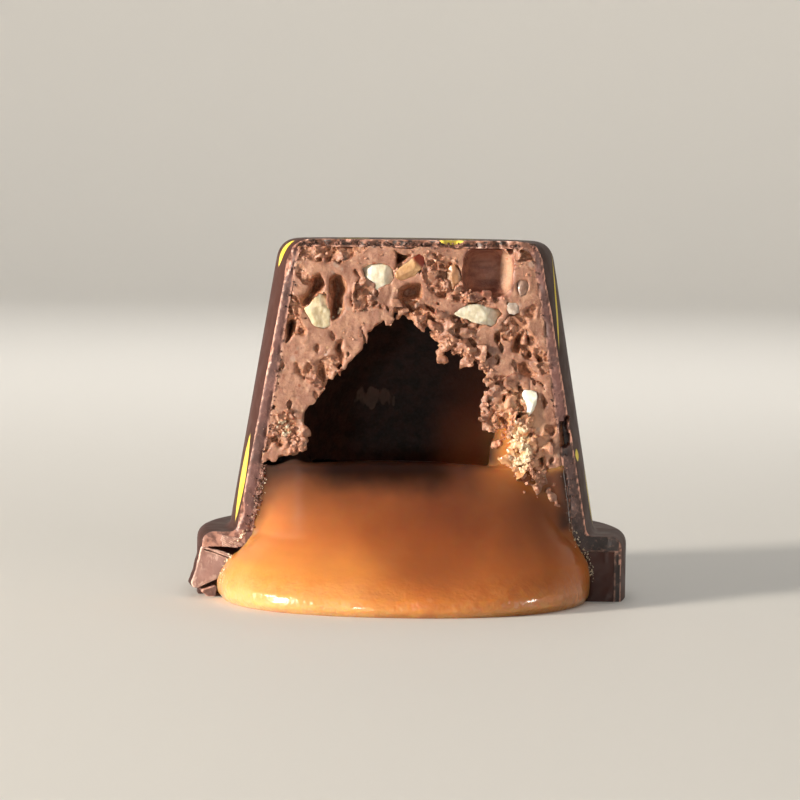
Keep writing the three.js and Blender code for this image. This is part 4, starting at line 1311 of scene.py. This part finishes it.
def make_caramel():
    """The caramel: level in the hollow, climbing its walls a little, and flowing out to the floor."""
    step = 0.19
    room = Space(np.arange(-15.2, 14.2, step), np.arange(-15.8, 12.9, step), np.arange(-0.9, 14.2, step))
    x, y, z = room.x, room.y, room.z
    flow = flow_field(room)
    slopes = np.gradient(flow, *room.axes)
    flow = flow / np.maximum(np.sqrt(sum(s * s for s in slopes)), 0.35)
    front = np.maximum(flow, y - CUT_Y - 0.12)
    edge = np.hypot(x, y) - inner_radius(z) - 0.03
    creep = 0.45 * np.exp(np.minimum(edge, 0) / 0.8)
    sag = 0.15 + 0.06 * np.maximum(y - CUT_Y, 0)
    top = z - (CARAMEL_LEVEL - sag) - creep - 0.12 * room.noise(6.0, 81)
    inside = np.maximum(np.maximum(edge, top), np.maximum(BASE_PLATE - z, CUT_Y - y))
    ring = np.maximum(BASE_RING_INSIDE - 0.9 - np.hypot(x, y), z - (BRIM_HEIGHT - BRIM_LAYER))
    inside = np.maximum(inside, -ring)
    film = np.sqrt(((x - 7.5) / 1.9) ** 2 + ((y + 2.3) / 2.0) ** 2 + ((z - 10.0) / 3.3) ** 2) - 1
    climb = np.sqrt(((x + 8.6) / 1.3) ** 2 + ((y + 2.4) / 1.9) ** 2 + ((z - 9.3) / 1.3) ** 2) - 1
    body = melt(front, inside, 1.0)
    body = melt(melt(body, film * 1.6, 0.9), climb * 1.2, 0.8)
    body = np.maximum(body, edge - 4 * np.maximum(CUT_Y - y, 0))
    nose = smooth(0.0, 1.5, z) * smooth(CUT_Y - 1.0, CUT_Y - 5.0, y)
    body = body + 0.10 * room.noise(4.5, 82) * smooth(0.0, 2.0, z) + 0.05 * room.noise(1.7, 83) * nose
    wrinkled = smooth(0.0, 0.35, z) * np.where(x < 4, smooth(3.4, 1.6, z) * smooth(1.5, -2.0, x),
                                               0.6 * smooth(2.2, 1.2, z) * smooth(6.0, 8.0, x))
    body = body + 0.11 * room.noise(1.25, 84, stretch=(1.5, 1, 1)) * wrinkled
    field = np.maximum(body, -0.3 - z).astype(np.float32)
    points, quads = skin(room, field)
    points = settle(room, field, points, 3)
    points[:, 2] = np.maximum(points[:, 2], 0.0)
    return new_piece("running_caramel", points, quads, CARAMEL)


# ================= Crumbs =================
class Growth:
    """A geometry node tree while it is being made. One method adds any node."""

    def __init__(self, name, sizes):
        self.tree = bpy.data.node_groups.new(name, "GeometryNodeTree")
        new_socket = self.tree.interface.new_socket
        new_socket("Geometry", in_out="INPUT", socket_type="NodeSocketGeometry")
        new_socket("Geometry", in_out="OUTPUT", socket_type="NodeSocketGeometry")
        for label, (kind, value) in sizes.items():
            new_socket(label, in_out="INPUT", socket_type=kind).default_value = value
        self.inputs = self.tree.nodes.new("NodeGroupInput")

    def given(self, label):
        """A named input of the tree."""
        return self.inputs.outputs[label]

    def node(self, kind, settings=None, inputs=None, output=0):
        """Adds a node with its settings, fills its sockets with values or links, and gives one output."""
        node = self.tree.nodes.new(kind)
        for key, value in (settings or {}).items():
            setattr(node, key, value)
        for key, value in (inputs or {}).items():
            if isinstance(value, bpy.types.NodeSocket):
                self.tree.links.new(value, node.inputs[key])
            else:
                node.inputs[key].default_value = value
        return node.outputs[output] if node.outputs else node


def crumb_tree(material):
    """Grows one uneven crumb on each point, at the size that the point carries in millimetres."""
    grow = Growth("crumbs on points", {"Size": ("NodeSocketFloat", MM),
                                       "Unevenness": ("NodeSocketFloat", 0.5),
                                       "Seed": ("NodeSocketInt", 1)})
    own_size = grow.node("GeometryNodeInputNamedAttribute", {"data_type": "FLOAT"}, {"Name": "crumb_size"})
    size = grow.node("ShaderNodeMath", {"operation": "MULTIPLY"}, {0: own_size, 1: grow.given("Size")})
    turn = grow.node("FunctionNodeRandomValue", {"data_type": "FLOAT_VECTOR"},
                     {"Min": (0, 0, 0), "Max": 3 * (6.283,), "Seed": grow.given("Seed")})
    squeeze = grow.node("FunctionNodeRandomValue", {"data_type": "FLOAT_VECTOR"},
                        {"Min": (0.6, 0.7, 0.8), "Max": (1.0, 1.1, 1.4), "Seed": grow.given("Seed")})
    scale = grow.node("ShaderNodeVectorMath", {"operation": "SCALE"}, {0: squeeze, "Scale": size})
    ball = grow.node("GeometryNodeMeshIcoSphere", {}, {"Radius": 1.0, "Subdivisions": 2})
    sites = grow.node("GeometryNodeMeshToPoints", {}, {"Mesh": grow.given("Geometry")})
    grown = grow.node("GeometryNodeInstanceOnPoints", {},
                      {"Points": sites, "Instance": ball, "Rotation": turn, "Scale": scale})
    real = grow.node("GeometryNodeRealizeInstances", {}, {"Geometry": grown})
    place = grow.node("GeometryNodeInputPosition")
    lumps = grow.node("ShaderNodeTexNoise", {}, {"Vector": place, "Scale": 7000.0, "Detail": 2.0}, "Color")
    centred = grow.node("ShaderNodeVectorMath", {"operation": "SUBTRACT"}, {0: lumps, 1: (0.5, 0.5, 0.5)})
    amount = grow.node("ShaderNodeMath", {"operation": "MULTIPLY"},
                       {0: grow.given("Unevenness"), 1: grow.given("Size")})
    push = grow.node("ShaderNodeVectorMath", {"operation": "SCALE"}, {0: centred, "Scale": amount})
    uneven = grow.node("GeometryNodeSetPosition", {}, {"Geometry": real, "Offset": push})
    finish = grow.node("GeometryNodeSetMaterial", {}, {"Geometry": uneven, "Material": material})
    grow.node("NodeGroupOutput", {}, {0: finish})
    return grow.tree


def crumbs(name, sites, unevenness, seed, material):
    """Crumbs of one finish as one plain mesh. Each site is x, y, z and radius, in millimetres."""
    sites = np.array(sites, float)
    mesh = bpy.data.meshes.new(name)
    mesh.from_pydata((sites[:, :3] * MM).tolist(), [], [])
    piece = linked(name, mesh)
    paint_points(piece, "crumb_size", sites[:, 3])
    modifier = piece.modifiers.new("grow", "NODES")
    modifier.node_group = crumb_tree(material)
    sockets = modifier.node_group.interface.items_tree
    given = {socket.name: socket.identifier for socket in sockets if socket.in_out == "INPUT"}
    for label, value in (("Size", MM), ("Unevenness", unevenness), ("Seed", seed)):
        modifier[given[label]] = value
    return plain(piece)


# ================= The object =================
def keep(piece, slot, *nodes):
    """Fixes a finished piece to the chocolate."""
    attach(piece, "root")
    if nodes:
        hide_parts(*nodes)
    return piece


def on_line(draw, line, spread, count):
    """Random places beside a line at the cut."""
    line = np.array(line, float)
    lengths = np.hypot(*np.diff(line, axis=0).T)
    along = draw.uniform(0, lengths.sum(), count)
    ends = np.concatenate([[0], lengths.cumsum()])
    return np.stack([np.interp(along, ends, line[:, d]) + draw.normal(0, spread, count) for d in (0, 1)], 1)


def wall_line(side, aside):
    """The line of the shell's wall at the cut, on the left (-1) or right (1), moved aside a little."""
    return [(side * (math.sqrt(inner_radius(z) ** 2 - CUT_Y**2) + aside), z) for z in (6, 10, 15, 20, 25.2)]


# Where crumbs lie at the cut: (kind, spread, count, smallest, largest, the line they lie along).
STREWN = [
    ("praline", 0.4, 100, 0.05, 0.18, [(5.2, 14.6), (5.6, 12.9), (6.9, 12.0), (8.0, 10.0), (9.2, 8.8)]),
    ("praline", 0.5, 150, 0.06, 0.20, [(7.2, 13.6), (8.0, 12.0), (8.4, 10.0), (9.2, 9.0)]),
    ("praline", 0.35, 90, 0.04, 0.15, [(-1.2, 21.0), (1.0, 19.6), (3.2, 18.4), (5.1, 17.0)]),
    ("praline", 0.35, 70, 0.04, 0.14, [(-10.2, 12.6), (-9.0, 12.2), (-8.2, 10.9)]),
    ("praline", 0.35, 60, 0.04, 0.13, [(0.8, 24.0), (2.2, 22.8), (4.6, 22.0), (6.3, 21.9)]),
    ("praline", 0.5, 40, 0.03, 0.10, [(-8.0, 16.3), (-5.6, 17.6), (-4.4, 19.6), (-3.2, 20.4)]),
    ("praline", 0.4, 60, 0.03, 0.10, [(-8.2, 24.6), (-4.0, 25.2), (2.0, 25.3), (8.3, 24.6)]),
    ("chocolate", 0.12, 150, 0.04, 0.14, [(-8.6, 25.95), (0, 26.0), (8.6, 25.95)]),
    ("chocolate", 0.10, 70, 0.03, 0.10, wall_line(-1, 0.05)),
    ("chocolate", 0.10, 60, 0.03, 0.10, wall_line(1, 0.05)),
    ("chocolate", 0.15, 30, 0.03, 0.09, [(10.8, 13.0), (11.3, 11.6), (11.5, 9.0), (11.9, 7.0)]),
    ("chocolate", 0.17, 110, 0.04, 0.13, [(-10.9, 9.7), (-11.2, 7.5), (-11.6, 6.0), (-12.2, 4.8)]),
    ("white nut", 0.22, 22, 0.07, 0.17, [(-9.6, 12.9), (-9.1, 12.1)]),
    ("white nut", 0.25, 14, 0.05, 0.14, [(8.0, 15.2), (7.6, 13.0), (8.6, 11.0)]),
    ("white nut", 0.06, 14, 0.08, 0.15, [(-6.0, 20.6), (-5.35, 21.25)]),
    ("white nut", 0.12, 9, 0.02, 0.045, [(10.95, 13.1), (11.3, 11.3)]),
    ("white nut", 0.16, 45, 0.02, 0.06, [(-10.8, 9.3), (-11.1, 7.5), (-11.6, 5.8)]),
    ("white nut", 0.10, 90, 0.03, 0.09, [(-12.25, 5.0), (-12.9, 3.7), (-13.5, 2.7), (-13.85, 1.2)]),
    ("white nut", 0.12, 90, 0.02, 0.06, [(11.5, 5.6), (12.1, 4.4), (12.9, 3.4), (13.3, 1.5)]),
]


def all_crumbs(*carriers):
    """The loose crumbs of praline, chocolate and white nut, each lying on the surface that carries it."""
    trees = [BVHTree.FromPolygons([point.co for point in piece.data.vertices],
                                  [face.vertices for face in piece.data.polygons]) for piece in carriers]
    sites = {"praline": [], "chocolate": [], "white nut": []}

    def place(kind, x, z, size, reach=1.3):
        """Lays a crumb on the first surface at a place on the cut, if that is within reach behind the cut."""
        start = Vector((x, CUT_Y - 12.0, z)) * MM
        hits = [tree.ray_cast(start, Vector((0, 1, 0)))[0] for tree in trees]
        depth = min((hit.y / MM for hit in hits if hit), default=BRIM_RADIUS)
        if depth < CUT_Y + reach:
            sites[kind].append((x, depth - 0.4 * size, z, size))

    draw = np.random.default_rng(77)
    for kind, spread, count, small, large, line in STREWN:
        for px, pz in on_line(draw, line, spread, count):
            size = small + (large - small) * draw.random() ** 2
            place(kind, px, min(pz, HEIGHT - 0.1 - 1.5 * size), size)
    for px, pz, size in LOOSE_CRUMBS:
        place("praline", px, pz, size, 2.5)
    keep(crumbs("praline_crumbs", sites["praline"], 0.4, 3, PRALINE_CRUMB), "praline")
    keep(crumbs("chocolate_crumbs", sites["chocolate"], 0.2, 5, CHOCOLATE_CRUMB), "dark_chocolate")
    keep(crumbs("white_nut_grit", sites["white nut"], 0.3, 7, NUT_GRIT), "nut")


shell = keep(make_shell(), "dark_chocolate", "shell")
base = keep(make_base(), "cut_chocolate", "base")
corner, splinter = make_corner()
keep(corner, "cut_chocolate", "brim_corner")
keep(splinter, "cut_chocolate", "brim_splinter")
keep(make_slivers(), "cut_chocolate")
praline = keep(make_praline(), "praline", "praline")
caramel = keep(make_caramel(), "caramel", "caramel")
for nut, (outline, out, slopes, kind) in NUTS.items():
    keep(make_nut(nut, outline, out, slopes, kind), "nut", nut)
all_crumbs(shell, base, corner, praline, caramel)


# ================= Floor, light and camera =================
AIM = (0, -4, 11)  # where the lights on the chocolate point
# Square lamps: (place, size, watts, colour, what it points at). Sizes and places are in millimetres.
LAMPS = {
    "key": ((-460, -240, 122), 100, 5.2, (1.0, 0.92, 0.81), AIM),
    "glint_side": ((-475, -45, 264), 90, 1.6, (1.0, 0.95, 0.88), AIM),
    "glint_left": ((-150, -520, 12), 45, 0.8, (1.0, 0.95, 0.88), AIM),
    "glint_right": ((505, -190, 40), 60, 0.5, (1.0, 0.95, 0.88), AIM),
    "fill": ((260, -420, 260), 320, 0.3, (0.95, 0.97, 1.0), AIM),
    "top": ((40, 120, 420), 300, 0.7, (1.0, 0.98, 0.95), AIM),
    "backdrop": ((0, 260, 420), 420, 1.7, (1.0, 0.98, 0.96), (0, 820, 120)),
}
AIR_COLOUR = (0.80, 0.84, 0.9, 1)
AIR_STRENGTH = 0.16
FLOOR_SWEEP = [(0.1, 0), (300, 0), (500, 0), *soft_corner((620, 0), (900, 0), (900, 320), 14), (900, 700)]
FLOOR_STEPS = 96
EYE = (-1.0, CUT_Y - 210.0, 29.0)
EYE_DOWN = 3.915  # degrees that the camera looks down
EYE_ASIDE = 0.77  # degrees that it is turned to the left
LENS = 129.8


def make_floor():
    """A pale round floor that sweeps up far behind, as (radius, z) turned round the object."""
    material = Look("pale floor").finish(Base_Color=rgb("d9d6d0"), Roughness=0.7)
    n = FLOOR_STEPS
    angles = np.linspace(0, 2 * math.pi, n, endpoint=False)
    points = [(r * math.cos(a), r * math.sin(a), z) for r, z in FLOOR_SWEEP for a in angles]
    faces = [(r * n + i, r * n + (i + 1) % n, (r + 1) * n + (i + 1) % n, (r + 1) * n + i)
             for r in range(len(FLOOR_SWEEP) - 1) for i in range(n)]
    faces.append(tuple(range(n)))
    new_piece("floor", points, faces, material)


def make_light():
    """Faint cool air round the object, and the lamps. The glints show only in the gloss."""
    world = bpy.data.worlds.new("studio")
    world.use_nodes = True
    background = world.node_tree.nodes["Background"]
    background.inputs["Color"].default_value = AIR_COLOUR
    background.inputs["Strength"].default_value = AIR_STRENGTH
    bpy.context.scene.world = world
    for name, (place, size, power, colour, target) in LAMPS.items():
        light = bpy.data.lights.new(name, "AREA")
        light.energy, light.size, light.color = power, size * MM, colour
        lamp = linked(name, light)
        glint = name.startswith("glint")
        lamp.visible_glossy, lamp.visible_diffuse = glint or name == "key", not glint
        lamp.location = Vector(place) * MM
        lamp.rotation_euler = (Vector(target) * MM - lamp.location).to_track_quat("-Z", "Y").to_euler()


def make_camera():
    """The camera, close in front of the cut and a little above it."""
    camera = bpy.data.cameras.new("camera")
    camera.lens, camera.sensor_width = LENS, 36.0
    camera.clip_start, camera.clip_end = 0.01, 20.0
    eye = linked("camera", camera)
    turn = (Matrix.Rotation(math.radians(90) - math.radians(EYE_DOWN), 4, "X")
            @ Matrix.Rotation(math.radians(EYE_ASIDE), 4, "Z"))
    eye.matrix_world = Matrix.Translation(Vector(EYE) * MM) @ turn
    bpy.context.scene.camera = eye


make_floor()
make_light()
make_camera()
bpy.context.scene.view_settings.view_transform = "Standard"
bpy.context.view_layer.update()
